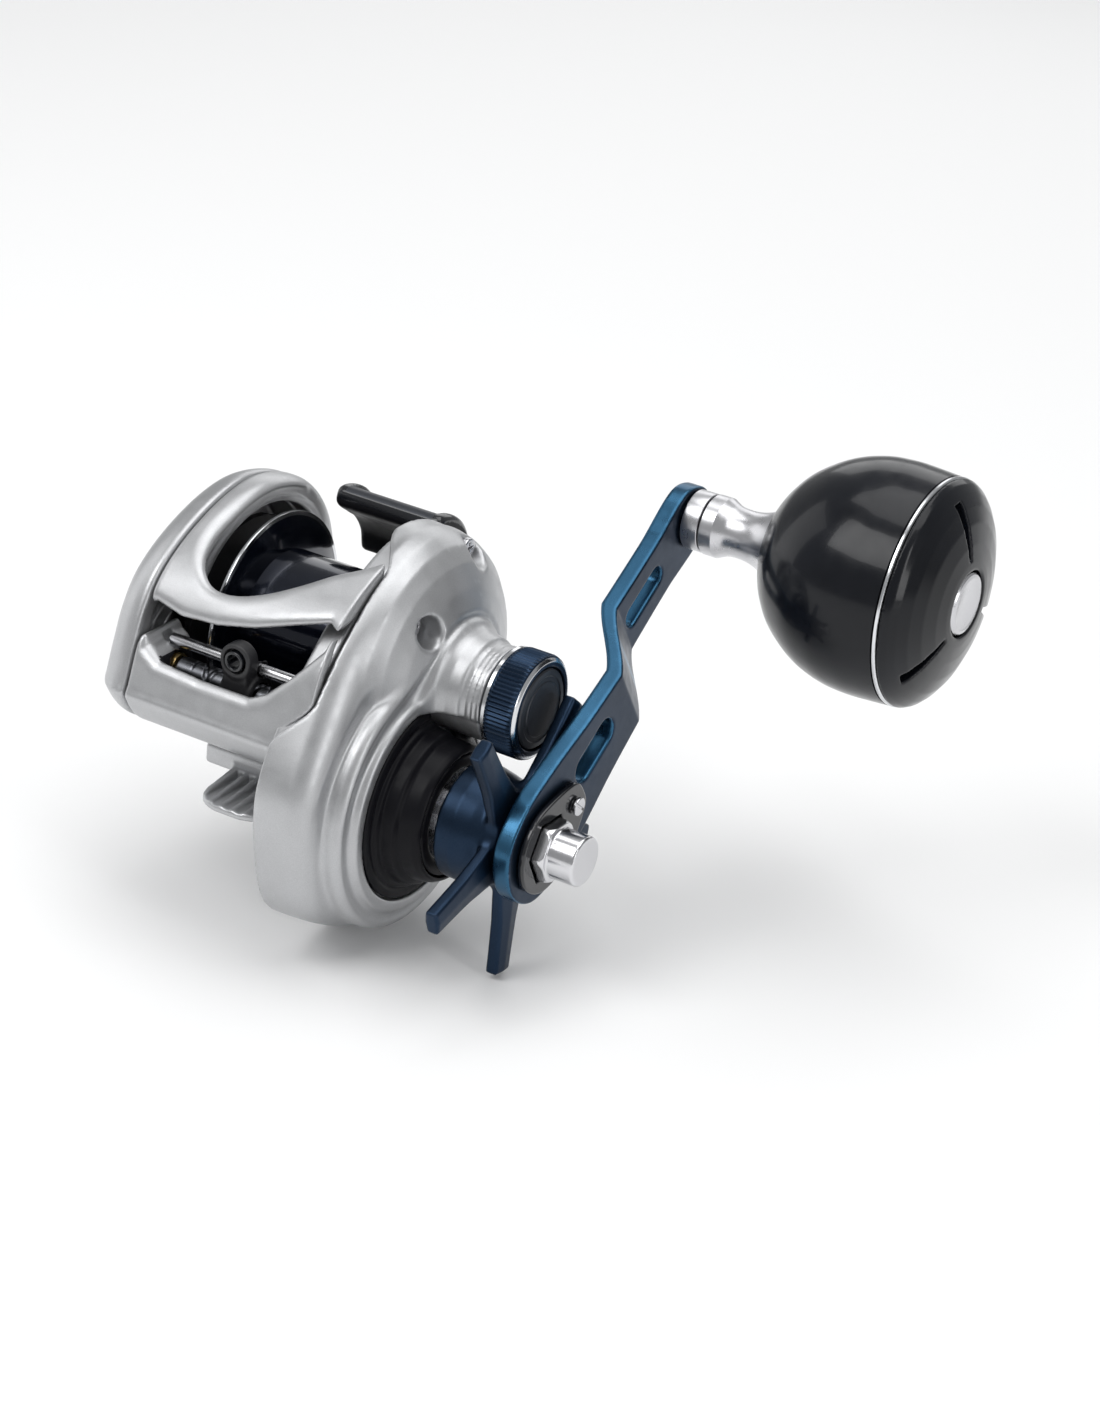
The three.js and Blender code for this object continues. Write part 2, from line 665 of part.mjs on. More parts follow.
function driveGear() {
  const body = plate(gearShape(D, DRIVE_TEETH, MODULE, DRIVE_PHASE), GEAR_PLANE_X, GEAR_END_X);
  const cup = cylinder(15, GEAR_PLANE_X + 1.4, GEAR_END_X + 1, D);
  return cut(body, cup, cylinder(SHAFT_BORE, 0, 60, D, SMALL_ROUND));
}

const trainGear = (c, teeth, phase, bore) =>
  plate(gearShape(c, teeth, LW_MODULE, phase), LW_X, LW_X + LW_T).subtract(
    cylinder(bore, 0, 60, c, SMALL_ROUND),
  );

// ---- handle -------------------------------------------------------------------------------
// The arm is drawn lying along +Y from the drive shaft, then turned to its rest angle.
function atArm(s) {
  const deg = ARM_ANGLE;
  const c = Math.cos(rad(deg));
  const n = Math.sin(rad(deg));
  // column by column: where X, Y and Z go, then the shift
  return s.transform([1, 0, 0, 0, 0, c, n, 0, 0, -n, c, 0, 0, D.y, D.z, 1]);
}

function handleArm() {
  const plan = smoothShape(
    [
      [0, HUB_R],
      [-HUB_R * 0.71, HUB_R * 0.71],
      [-HUB_R, 0],
      [-HUB_R * 0.71, -HUB_R * 0.71],
      [0, -HUB_R],
      [10, -HUB_R + 0.2],
      [22, -8.8],
      [40, -7.2],
      [60, -ARM_END_R],
      [ARM_LENGTH + ARM_END_R * 0.3, -ARM_END_R * 0.95],
      [ARM_LENGTH + ARM_END_R, 0],
      [ARM_LENGTH + ARM_END_R * 0.3, ARM_END_R * 0.95],
      [60, ARM_END_R],
      [40, 7.2],
      [22, 8.8],
      [10, HUB_R - 0.2],
    ],
    40,
  );
  const blank = plate(plan, ARM_END_X - 2, ARM_X + ARM_T + 2);
  const outer = ARM_LENGTH + 20;
  const side = new THREE.Shape(
    [
      [-20, ARM_X],
      [STEP_START, ARM_X],
      [STEP_END, ARM_END_X],
      [outer, ARM_END_X],
      [outer, ARM_END_X + ARM_T],
      [STEP_END + 1, ARM_END_X + ARM_T],
      [STEP_START + 1, ARM_X + ARM_T],
      [-20, ARM_X + ARM_T],
    ].map(([s, x]) => new THREE.Vector2(x, s)),
  );
  const slab = new THREE.ExtrudeGeometry(side, { depth: 40, bevelEnabled: false });
  const bent = blank.intersect(solid(slab.translate(0, 0, -20)));
  const low = ARM_END_X - 5;
  const high = ARM_FACE_X + 5;
  const slots = [
    [16.5, 24, 2.7, 1.4],
    [49, 58, 2, 0],
  ].map(([from, to, r, across]) =>
    join(
      cylinder(r, low, high, { y: from, z: across }, SMALL_ROUND),
      cylinder(r, low, high, { y: to, z: across }, SMALL_ROUND),
      block(low, high, from, to, across - r, across + r),
    ),
  );
  const bores = [
    cylinder(SHAFT_BORE, low, high, { y: 0, z: 0 }, SMALL_ROUND),
    cylinder(POST_R + GAP, low, high, { y: ARM_LENGTH, z: 0 }, SMALL_ROUND),
    cylinder(RETAINER_SCREW_R + GAP, low, high, { y: RETAINER_AT, z: 0 }, 12),
  ];
  return atArm(cut(bent, ...slots, ...bores));
}

function hexShape(c, r) {
  return circleShape(c, r, 6);
}

function handleNut() {
  const hex = plate(hexShape(D, NUT_HEX_R), ARM_FACE_X + GAP, ARM_FACE_X + 3.6);
  const round = turned(
    [
      [0, ARM_FACE_X + 3],
      [4.65, ARM_FACE_X + 3],
      [4.65, NUT_X - 0.6],
      [4.1, NUT_X],
      [0, NUT_X],
    ],
    D,
    24,
  );
  const bore = cylinder(SHAFT_BORE - 0.3, 40, NUT_X - 2.4, D, SMALL_ROUND);
  return join(hex, round).subtract(bore);
}

function nutRetainer() {
  const blank = plate(
    smoothShape(
      [
        [-8.6, 0],
        [-6, 6],
        [0, 8.4],
        [7, 6.4],
        [12.4, 3],
        [13, 0],
        [12.4, -3],
        [7, -6.4],
        [0, -8.4],
        [-6, -6],
      ],
      36,
    ),
    ARM_FACE_X + GAP,
    ARM_FACE_X + 1.5,
  );
  const hole = plate(hexShape({ y: 0, z: 0 }, NUT_HEX_R + GAP + 0.1), 40, 60);
  const turnedHole = hole.rotate([-ARM_ANGLE, 0, 0]);
  const screw = cylinder(RETAINER_SCREW_R + GAP, 40, 60, { y: RETAINER_AT, z: 0 }, 12);
  return atArm(cut(blank, turnedHole, screw));
}

const screwAt = (c, headR, shankR, x0, headX, x1) =>
  turned(
    [
      [0, x0],
      [shankR, x0],
      [shankR, headX],
      [headR, headX],
      [headR, x1],
      [0, x1],
    ],
    c,
    14,
  );

function star() {
  const hub = turned(
    [
      [5.3, CLUTCH_X + 1.5],
      [10.2, CLUTCH_X + 1.5],
      [10.8, CLUTCH_X + 2.5],
      [10.8, CLUTCH_X + 5.5],
      [9.6, STAR_X + 0.1],
      [9, STAR_X + STAR_T],
      [5.3, STAR_X + STAR_T],
      [5.3, CLUTCH_X + 1.5],
    ],
    D,
    24,
  );
  const arm = polygon([
    [7, -4.2],
    [13, -3],
    [22, -2.6],
    [STAR_TIP_R - 0.8, -3.2],
    [STAR_TIP_R, -2],
    [STAR_TIP_R, 2],
    [STAR_TIP_R - 0.8, 3.2],
    [22, 2.6],
    [13, 3],
    [7, 4.2],
  ]);
  const arms = [];
  for (let k = 0; k < STAR_ARMS; k++) {
    const turn = STAR_ANGLE + (360 / STAR_ARMS) * k;
    arms.push(plate(arm, STAR_X, STAR_X + STAR_T).rotate([turn, 0, 0]).translate([0, D.y, D.z]));
  }
  return join(hub, ...arms);
}

// ---- knob ---------------------------------------------------------------------------------
const BALL = [ // the ball's side view, radius against distance from its start
  [7.9, 0],
  [11.6, 1.7],
  [16, 5.4],
  [19.6, 10.8],
  [21.5, 17],
  [21.7, 22],
  [KNOB_R, RING_X - KNOB_X],
];

function knobBody() {
  return turned(
    [
      [KNOB_BORE, KNOB_X + 1],
      [7.4, KNOB_X + 1],
      ...BALL.map(([r, along]) => [r, KNOB_X + along]),
      [KNOB_R - 2.4, RING_X],
      [KNOB_R - 2.4, RING_X - 6],
      [8, RING_X - 6],
      [8, RING_X - 2],
      [KNOB_BORE, RING_X - 2],
      [KNOB_BORE, KNOB_X + 1],
    ],
    K,
    LARGE_ROUND,
  );
}

function knobNeck() {
  return turned(
    [
      [KNOB_BORE, KNOB_COLLAR_END_X + RUN],
      [5.7, KNOB_COLLAR_END_X + RUN],
      [5.7, KNOB_X - 11.5],
      [4.7, KNOB_X - 10],
      [4.6, KNOB_X - 7],
      [5.2, KNOB_X - 4],
      [7.2, KNOB_X + 0.7],
      [KNOB_BORE, KNOB_X + 0.7],
      [KNOB_BORE, KNOB_COLLAR_END_X + RUN],
    ],
    K,
    20,
  );
}

function knobCover() {
  const end = KNOB_X + KNOB_LENGTH;
  return turned(
    [
      [6.2, RING_X + 1.1],
      [KNOB_R - 0.1, RING_X + 1.1],
      [20, RING_X + 3],
      [16.6, RING_X + 5.6],
      [11.5, end - 0.8],
      [6.2, end - 0.1],
      [6.2, RING_X + 1.1],
    ],
    K,
    LARGE_ROUND,
  );
}

// ---- thumb bar, level wind ----------------------------------------------------------------
function thumbBar() {
  const z = S.z;
  const bar = plate(
    smoothShape(
      [
        [15.4, z + 18.2],
        [16.4, z + 21.2],
        [20, z + 20.8],
        [24.8, z + 17.8],
        [27.4, z + 12.5],
        [27.2, z + 6.2],
        [25.4, z + 5.8],
        [24.2, z + 10],
        [21.5, z + 13.6],
        [18.6, z + 15.6],
      ],
      32,
    ),
    -THUMB_HALF,
    THUMB_HALF,
  );
  const rib = block(
    THUMB_HALF - 2,
    THUMB_HALF,
    THUMB_TAB_Y - THUMB_TAB_HALF,
    THUMB_TAB_Y + THUMB_TAB_HALF,
    THUMB_TAB_Z - 2,
    z + 15,
  );
  const tab = block(
    THUMB_HALF - 1,
    GEAR_X + 0.1,
    THUMB_TAB_Y - THUMB_TAB_HALF,
    THUMB_TAB_Y + THUMB_TAB_HALF,
    THUMB_TAB_Z - 2,
    THUMB_TAB_Z + 2,
  );
  return join(bar, rib, tab);
}

function clutchPlate() {
  const z = S.z;
  const shape = polygon([
    [20.6, THUMB_TAB_Z + 2],
    [THUMB_TAB_Y + THUMB_TAB_HALF, THUMB_TAB_Z + 1.4],
    [THUMB_TAB_Y + THUMB_TAB_HALF, THUMB_TAB_Z - 2],
    [18, z - 4],
    [6.4, z - 3],
    [6.4, z + 3],
    [13, z + 2.4],
  ]);
  return plate(shape, GEAR_X + 0.45, GEAR_X + 1.25);
}

function lineGuide() {
  const around = (c, r) => cylinder(r, -GUIDE_HALF, GUIDE_HALF, c, 18);
  const web = plate(
    polygon([
      [W.y - 3.6, W.z],
      [EYE.y - 1.4, EYE.z],
      [EYE.y + 1.4, EYE.z],
      [ROD.y + 1.9, ROD.z + 1],
      [ROD.y + 2.1, ROD.z],
      [W.y + 3.6, W.z],
    ]),
    -GUIDE_HALF + 0.6,
    GUIDE_HALF - 0.6,
  );
  const bores = join(
    cylinder(WORM_R + RUN, -20, 20, W, 18),
    cylinder(ROD_R + RUN, -20, 20, ROD, SMALL_ROUND),
  );
  const tower = alongY(cylinder(GUIDE_HALF, -1.5, 1.5, { y: 0, z: 0 }, 20));
  const passage = alongY(cylinder(EYE_R + GAP, -30, 30, { y: 0, z: 0 }, 20));
  return cut(join(around(W, WORM_R + 1.5), web, tower), bores, passage);
}

// A piece turned about X at the origin, laid along Y at the line guide's eye.
const alongY = (s) => s.rotate([0, 0, 90]).translate([0, EYE.y, EYE.z]);

function levelWindInsert() {
  const tray = plate(
    polygon([
      [W.y - 4.6, W.z - 5.8],
      [W.y + 3.4, W.z - 5.8],
      [W.y + 4.6, W.z - 2.6],
      [W.y + 3.6, W.z - 2.6],
      [W.y + 2.6, W.z - 4.6],
      [W.y - 4.6, W.z - 4.6],
    ]),
    -WALL_X + GAP,
    HOOD_END_X - GAP,
  );
  return cut(tray, cylinder(SPOOL_R + 2 * GAP, -WALL_X, WALL_X, S, LARGE_ROUND));
}

// ---- assembly -----------------------------------------------------------------------------
const fixed = group("fixed");
piece(fixed, "frame", frame(), SILVER);
piece(fixed, "palm_cover", palmCover(), SILVER);
piece(fixed, "gear_cover", gearCover(), SILVER);
piece(fixed, "drag_bezel", bezel(), BLACK);
piece(fixed, "level_wind_insert", levelWindInsert(), PLASTIC);
piece(fixed, "guide_rod", cylinder(ROD_R, -WALL_X - 2.6, WALL_X + 1, ROD, SMALL_ROUND), STEEL);
piece(fixed, "worm_bushing_palm", tube(WORM_BORE, BUSHING_R, -WALL_X - 2.6, -WALL_X, W, SMALL_ROUND), BRASS);
piece(fixed, "worm_bushing_gear", tube(WORM_BORE, BUSHING_R, WALL_X, GEAR_X, W, SMALL_ROUND), BRASS);
piece(fixed, "idler_stub", cylinder(STUB_R, WALL_X + 1.2, LW_X + LW_T + 0.2, I, SMALL_ROUND), STEEL);
piece(fixed, "shaft_bearing", bearing(SHAFT_BORE, WALL_X + 0.3, GEAR_X - 0.1, D), STEEL);
piece(fixed, "roller_clutch", tube(SLEEVE_R + RUN, CLUTCH_R, DISC_X - 0.6, CLUTCH_X - 0.9, D, 20), STEEL);
piece(fixed, "pinion_bearing", bearing(2.1 + RUN, DISC_X + 0.8, BOSS_X - 4.2, S), STEEL);
piece(fixed, "spool_bearing_gear", bearing(SHAFT_R + RUN, CAST_FACE_X - 6, CAST_FACE_X - 3.8, S), STEEL);
piece(fixed, "spool_bearing_palm", bearing(SHAFT_R + RUN, PALM_END_X + 2.2, PALM_END_X + 4.6, S), STEEL);
piece(
  fixed,
  "brake_plate",
  turned(
    [
      [BEARING_R + 2.4, PALM_X - 0.2],
      [17.5, PALM_X - 0.2],
      [17.5, PALM_X + 1.2],
      [BRAKE_RACE_R + 1.4, PALM_X + 1.2],
      [BRAKE_RACE_R + 1.4, -SPOOL_HALF - 1.2],
      [BRAKE_RACE_R, -SPOOL_HALF - 1.2],
      [BRAKE_RACE_R, PALM_X + 1.2],
      [BEARING_R + 2.4, PALM_X + 1.2],
      [BEARING_R + 2.4, PALM_X - 0.2],
    ],
    S,
    24,
  ),
  PLASTIC,
);
for (const s of COVER_SCREWS) {
  const head = s.x - SCREW_SINK - 1.2;
  piece(fixed, s.name, screwAt(s, SCREW_HEAD_R, SCREW_SHANK_R, WALL_X + 1.2, head, head + 1.2), STEEL);
}

const spoolBody = group("spool_body");
piece(spoolBody, "spool", spool(), BLACK);
piece(spoolBody, "spool_shaft", spoolShaft(), STEEL);
piece(spoolBody, "clutch_pin", clutchPin(), STEEL);
piece(spoolBody, "brake_hub", brakeHub(), PLASTIC);

const clutch = group("clutch_body");
piece(clutch, "pinion_gear", pinion(), BRASS);
piece(clutch, "clutch_yoke", yoke(), PLASTIC);

const crank = group("crank");
piece(
  crank,
  "drive_shaft",
  turned(
    [
      [0, WALL_X + 0.3],
      [DRIVE_SHAFT_R, WALL_X + 0.3],
      [DRIVE_SHAFT_R, ARM_FACE_X],
      [DRIVE_SHAFT_R - 0.3, ARM_FACE_X],
      [DRIVE_SHAFT_R - 0.3, NUT_X - 2.8],
      [0, NUT_X - 2.8],
    ],
    D,
    SMALL_ROUND,
  ),
  STEEL,
);
piece(crank, "level_wind_drive_gear", trainGear(D, LW_DRIVE_TEETH, 0, SHAFT_BORE), PLASTIC);
piece(crank, "drive_gear", driveGear(), BRASS);
const washer = (outer, x0, x1) => tube(SHAFT_BORE, outer, x0, x1, D, 20);
piece(crank, "drag_washer", washer(14, GEAR_PLANE_X + 1.7, GEAR_PLANE_X + 2.5), CARBON);
piece(crank, "pressure_plate", washer(13.6, GEAR_PLANE_X + 2.8, GEAR_END_X - 0.2), STEEL);
piece(crank, "clutch_sleeve", washer(SLEEVE_R, GEAR_END_X + 0.2, CLUTCH_X + 0.7), STEEL);
piece(crank, "spring_washer", washer(SLEEVE_R - 0.2, CLUTCH_X + 1, STAR_NUT_X - 0.3), STEEL);
piece(crank, "handle_arm", handleArm(), BLUE);
piece(crank, "handle_nut", handleNut(), STEEL);
piece(crank, "nut_retainer", nutRetainer(), BLACK);
const retainerPlace = polar(D, RETAINER_AT, ARM_ANGLE);
piece(
  crank,
  "retainer_screw",
  screwAt(retainerPlace, 1.7, RETAINER_SCREW_R, ARM_X + 0.4, ARM_FACE_X + 1.8, ARM_FACE_X + 2.6),
  STEEL,
);
piece(
  crank,
  "knob_post",
  turned(
    [
      [0, ARM_END_X - 1.1],
      [4, ARM_END_X - 1.1],
      [4, ARM_END_X - GAP],
      [POST_R, ARM_END_X - GAP],
      [POST_R, POST_END_X],
      [0, POST_END_X],
    ],
    K,
    SMALL_ROUND,
  ),
  STEEL,
);
const collarStart = ARM_END_X + ARM_T + GAP;
piece(crank, "knob_collar", tube(POST_R + GAP, 5.6, collarStart, KNOB_COLLAR_END_X, K, 20), STEEL);

const starBody = group("star_body");
piece(starBody, "star_drag", star(), BLUE);
piece(starBody, "star_nut", tube(SHAFT_BORE, STAR_NUT_R, STAR_NUT_X, STAR_X + STAR_T - 0.4, D, 24), BRASS);

const knob = group("knob");
piece(knob, "knob_neck", knobNeck(), STEEL);
piece(knob, "knob_body", knobBody(), BLACK);
piece(knob, "knob_ring", tube(KNOB_R - 2, KNOB_R, RING_X + GAP, RING_X + 0.8, K, LARGE_ROUND), STEEL);
piece(knob, "knob_cover", knobCover(), BLACK);
piece(knob, "knob_bearing", tube(KNOB_BORE, 7.6, RING_X - 1.7, RING_X + 0.8, K, 24), STEEL);
piece(
  knob,
  "knob_cap",
  turned(
    [
      [0, RING_X + 3.4],
      [5.8, RING_X + 3.4],
      [5.8, KNOB_END_X - 0.4],
      [5.2, KNOB_END_X],
      [0, KNOB_END_X],
    ],
    K,
    20,
  ),
  STEEL,
);

const cast = group("cast_control");
piece(
  cast,
  "cast_knob",
  turned(
    [
      [BOSS_THREAD_R + RUN, BOSS_X + 0.5],
      [CAST_R, BOSS_X + 0.5],
      [CAST_R, CAST_FACE_X - 0.6],
      [CAST_R - 0.8, CAST_FACE_X],
      [CAST_FACE_R + GAP, CAST_FACE_X],
      [CAST_FACE_R + GAP, CAST_FACE_X - 1.2],
      [0, CAST_FACE_X - 1.2],
      [0, CAST_FACE_X - 3],
      [BOSS_THREAD_R + RUN, CAST_FACE_X - 3],
      [BOSS_THREAD_R + RUN, BOSS_X + 0.5],
    ],
    S,
    24,
  ),
  BLACK,
);
piece(cast, "cast_face", cylinder(CAST_FACE_R, CAST_FACE_X - 0.9, CAST_FACE_X + 0.2, S, 24), PLASTIC);
piece(cast, "cast_spacer", cylinder(1, CAST_FACE_X - 4.3, CAST_FACE_X - 3.3, S, 12), BRASS);

const thumb = group("thumb");
piece(thumb, "thumb_bar", thumbBar(), BLACK);
piece(thumb, "clutch_plate", clutchPlate(), STEEL);

const guide = group("line_guide_body");
piece(guide, "line_guide", lineGuide(), PLASTIC);
piece(guide, "guide_eye", alongY(tube(EYE_BORE, EYE_R, -1.9, 1.9, { y: 0, z: 0 }, 24)), STEEL);

const worm = group("worm");
piece(
  worm,
  "worm_shaft",
  turned(
    [
      [0, -WALL_X - 2.4],
      [WORM_JOURNAL_R, -WALL_X - 2.4],
      [WORM_JOURNAL_R, -WALL_X + GAP],
      [WORM_R, -WALL_X + GAP],
      [WORM_R, WALL_X - GAP],
      [WORM_JOURNAL_R, WALL_X - GAP],
      [WORM_JOURNAL_R, LW_X + LW_T + 0.3],
      [0, LW_X + LW_T + 0.3],
    ],
    W,
    SMALL_ROUND,
  ),
  STEEL,
);
piece(worm, "worm_gear", trainGear(W, LW_WORM_TEETH, WORM_PHASE, WORM_JOURNAL_R + GAP), PLASTIC);

const idler = group("idler");
piece(idler, "idler_gear", trainGear(I, LW_IDLER_TEETH, IDLER_PHASE, STUB_R + RUN), PLASTIC);

const brake = group("brake_dial_body");
piece(
  brake,
  "brake_dial",
  turned(
    [
      [0, PALM_END_X - 1.6],
      [DIAL_R - 0.6, PALM_END_X - 1.6],
      [DIAL_R, PALM_END_X - 1],
      [DIAL_R, PALM_END_X + SHELL],
      [0, PALM_END_X + SHELL],
    ],
    DIAL,
    20,
  ),
  BLACK,
);

export default reel;
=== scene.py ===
"""Low-profile baitcasting reel with a power handle, dressed over its CAD frame.

Lengths in this file are millimetres in the frame's own axes (+X handle side, -Y front, +Z up)
until solid() or turned() turns them into metres.
"""
import json
import math

import bmesh
import bpy
import numpy as np
import openvdb
from mathutils import Matrix, Vector


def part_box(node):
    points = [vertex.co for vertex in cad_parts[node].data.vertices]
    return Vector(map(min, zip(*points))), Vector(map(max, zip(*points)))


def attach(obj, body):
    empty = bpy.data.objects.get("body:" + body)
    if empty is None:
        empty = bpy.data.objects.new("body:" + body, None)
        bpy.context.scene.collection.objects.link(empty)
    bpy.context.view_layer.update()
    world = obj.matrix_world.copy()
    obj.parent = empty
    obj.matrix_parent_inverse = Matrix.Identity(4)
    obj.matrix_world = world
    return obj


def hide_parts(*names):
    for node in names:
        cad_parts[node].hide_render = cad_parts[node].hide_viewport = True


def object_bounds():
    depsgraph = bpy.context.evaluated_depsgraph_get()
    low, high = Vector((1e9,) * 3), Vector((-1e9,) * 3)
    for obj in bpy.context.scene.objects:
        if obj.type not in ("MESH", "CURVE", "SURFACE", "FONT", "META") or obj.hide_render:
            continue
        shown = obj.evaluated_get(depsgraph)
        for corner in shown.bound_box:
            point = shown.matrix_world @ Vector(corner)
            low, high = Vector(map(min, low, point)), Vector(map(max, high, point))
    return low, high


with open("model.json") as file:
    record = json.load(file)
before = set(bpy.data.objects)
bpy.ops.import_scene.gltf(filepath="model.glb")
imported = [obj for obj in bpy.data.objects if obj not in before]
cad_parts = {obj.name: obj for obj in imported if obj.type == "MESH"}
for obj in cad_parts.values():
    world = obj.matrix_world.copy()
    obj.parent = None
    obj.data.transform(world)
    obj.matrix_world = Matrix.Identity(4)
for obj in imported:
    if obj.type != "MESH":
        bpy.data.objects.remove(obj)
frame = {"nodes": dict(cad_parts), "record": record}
cad_box = [list(map(float, corner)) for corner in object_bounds()]

MM = 0.001


# ---- places taken from the frame ----------------------------------------------------------
def box_mm(node):
    low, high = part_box(node)
    return np.array(low) / MM, np.array(high) / MM


def centre(node):
    low, high = box_mm(node)
    return (low + high) / 2


S = centre("spool")[1:]  # spool axis, (y, z)
D = centre("pressure_plate")[1:]  # drive shaft
K = centre("knob_ring")[1:]  # knob axis
W = centre("worm_shaft")[1:]  # level-wind worm
ROD = centre("guide_rod")[1:]
EYE = centre("guide_eye")
ARM_ANGLE = math.atan2(K[1] - D[1], K[0] - D[0])
ARM_LENGTH = float(np.hypot(*(K - D)))
# from the arm's own axes, Y along it from the drive shaft, to the frame's
ALONG_ARM = Matrix.Translation((0, D[0] * MM, D[1] * MM)) @ Matrix.Rotation(ARM_ANGLE, 4, "X")
SPOOL_R = 19.9
SPOOL_HALF = box_mm("spool")[1][0]
WELL_R = 20.7  # opening in the walls round the spool
ROD_BORE_R = 1.45
WORM_BORE_R = 2.95
PALM_X = box_mm("frame")[0][0]  # outer face of the palm-side wall
PALM_END_X = box_mm("palm_cover")[0][0]
SEAM_X = box_mm("gear_cover")[0][0]  # where the gear cover starts
SEAM_SWING = 5.4  # how far the seam swings outwards beside the window
SEAM_GAP = 0.12
GEAR_X = box_mm("frame")[1][0]  # outer face of the gear-side wall
WALL_X = 14.2  # inner faces of both walls
BODY_R = 25.5  # side plates round the spool's axis
DISC_X = 28.0  # face of the gear cover round the drive shaft
DISC_R = 18.0  # black bezel
CLUTCH_X = 35.5  # end of the one-way clutch's housing
BOSS_X = 37.6  # end of the boss under the cast control knob
BOSS_R = 9.0
CAST_FACE_X = 44.9
CAST_R = 9.6
ARM_X, ARM_T = 49.6, 3.4  # inner face of the arm at the shaft, and its thickness
ARM_END_X = box_mm("handle_arm")[0][0]
ARM_FACE_X = ARM_X + ARM_T
CLUTCH_TRAVEL = 1.2
KNOB_X = box_mm("knob_body")[0][0]
KNOB_END_X = box_mm("knob_cap")[1][0]
RING_X = box_mm("knob_body")[1][0]


# ---- camera, light and floor --------------------------------------------------------------
def camera():
    right = Vector((0.848, 0.5219, 0.0920))
    up = Vector((-0.2963, 0.3231, 0.8988))
    back = Vector((0.4393, -0.7895, 0.4286))
    data = bpy.data.cameras.new("camera")
    data.lens = 91.14
    data.sensor_width = 36
    data.clip_start = 0.01
    cam = bpy.data.objects.new("camera", data)
    rotation = Matrix((right, up, back)).transposed().to_4x4()
    cam.matrix_world = Matrix.Translation((0.32277, -0.4963, 0.29465)) @ rotation
    bpy.context.collection.objects.link(cam)
    bpy.context.scene.camera = cam


def area_light(name, place, target, size, power):
    data = bpy.data.lights.new(name, "AREA")
    data.shape = "RECTANGLE"
    data.size, data.size_y = size
    data.energy = power
    lamp = bpy.data.objects.new(name, data)
    lamp.location = place
    lamp.rotation_euler = (Vector(target) - Vector(place)).to_track_quat("-Z", "Y").to_euler()
    bpy.context.collection.objects.link(lamp)


def studio():
    middle = (0.03, 0, 0.02)
    area_light("key", (-0.25, -0.55, 0.75), middle, (0.5, 0.5), 3.2)
    area_light("top", (0.1, 0.1, 0.85), middle, (0.9, 0.7), 4.2)
    area_light("right_strip", (0.85, -0.25, 0.35), middle, (0.15, 0.7), 1.4)
    area_light("left_fill", (-0.8, -0.1, 0.3), middle, (0.5, 0.8), 1.2)
    area_light("back_rim", (-0.2, 0.8, 0.4), middle, (0.8, 0.4), 1.2)
    world = bpy.data.worlds.new("studio")
    bpy.context.scene.world = world
    world.use_nodes = True
    background = world.node_tree.nodes["Background"]
    background.inputs["Color"].default_value = (0.93, 0.94, 0.95, 1)
    background.inputs["Strength"].default_value = 0.36

    size = 6.0
    mesh = bpy.data.meshes.new("floor")
    z = cad_box[0][2] - 0.001  # just under the lowest point
    corners = [(-size, -size, z), (size, -size, z), (size, size, z), (-size, size, z)]
    mesh.from_pydata(corners, [], [(0, 1, 2, 3)])
    floor = bpy.data.objects.new("floor", mesh)
    bpy.context.collection.objects.link(floor)
    pale = bpy.data.materials.new("pale_floor")
    pale.use_nodes = True
    shader = pale.node_tree.nodes["Principled BSDF"]
    shader.inputs["Base Color"].default_value = (0.93, 0.93, 0.93, 1)
    shader.inputs["Roughness"].default_value = 0.9
    mesh.materials.append(pale)
    bpy.context.scene.view_settings.view_transform = "Standard"


camera()
studio()


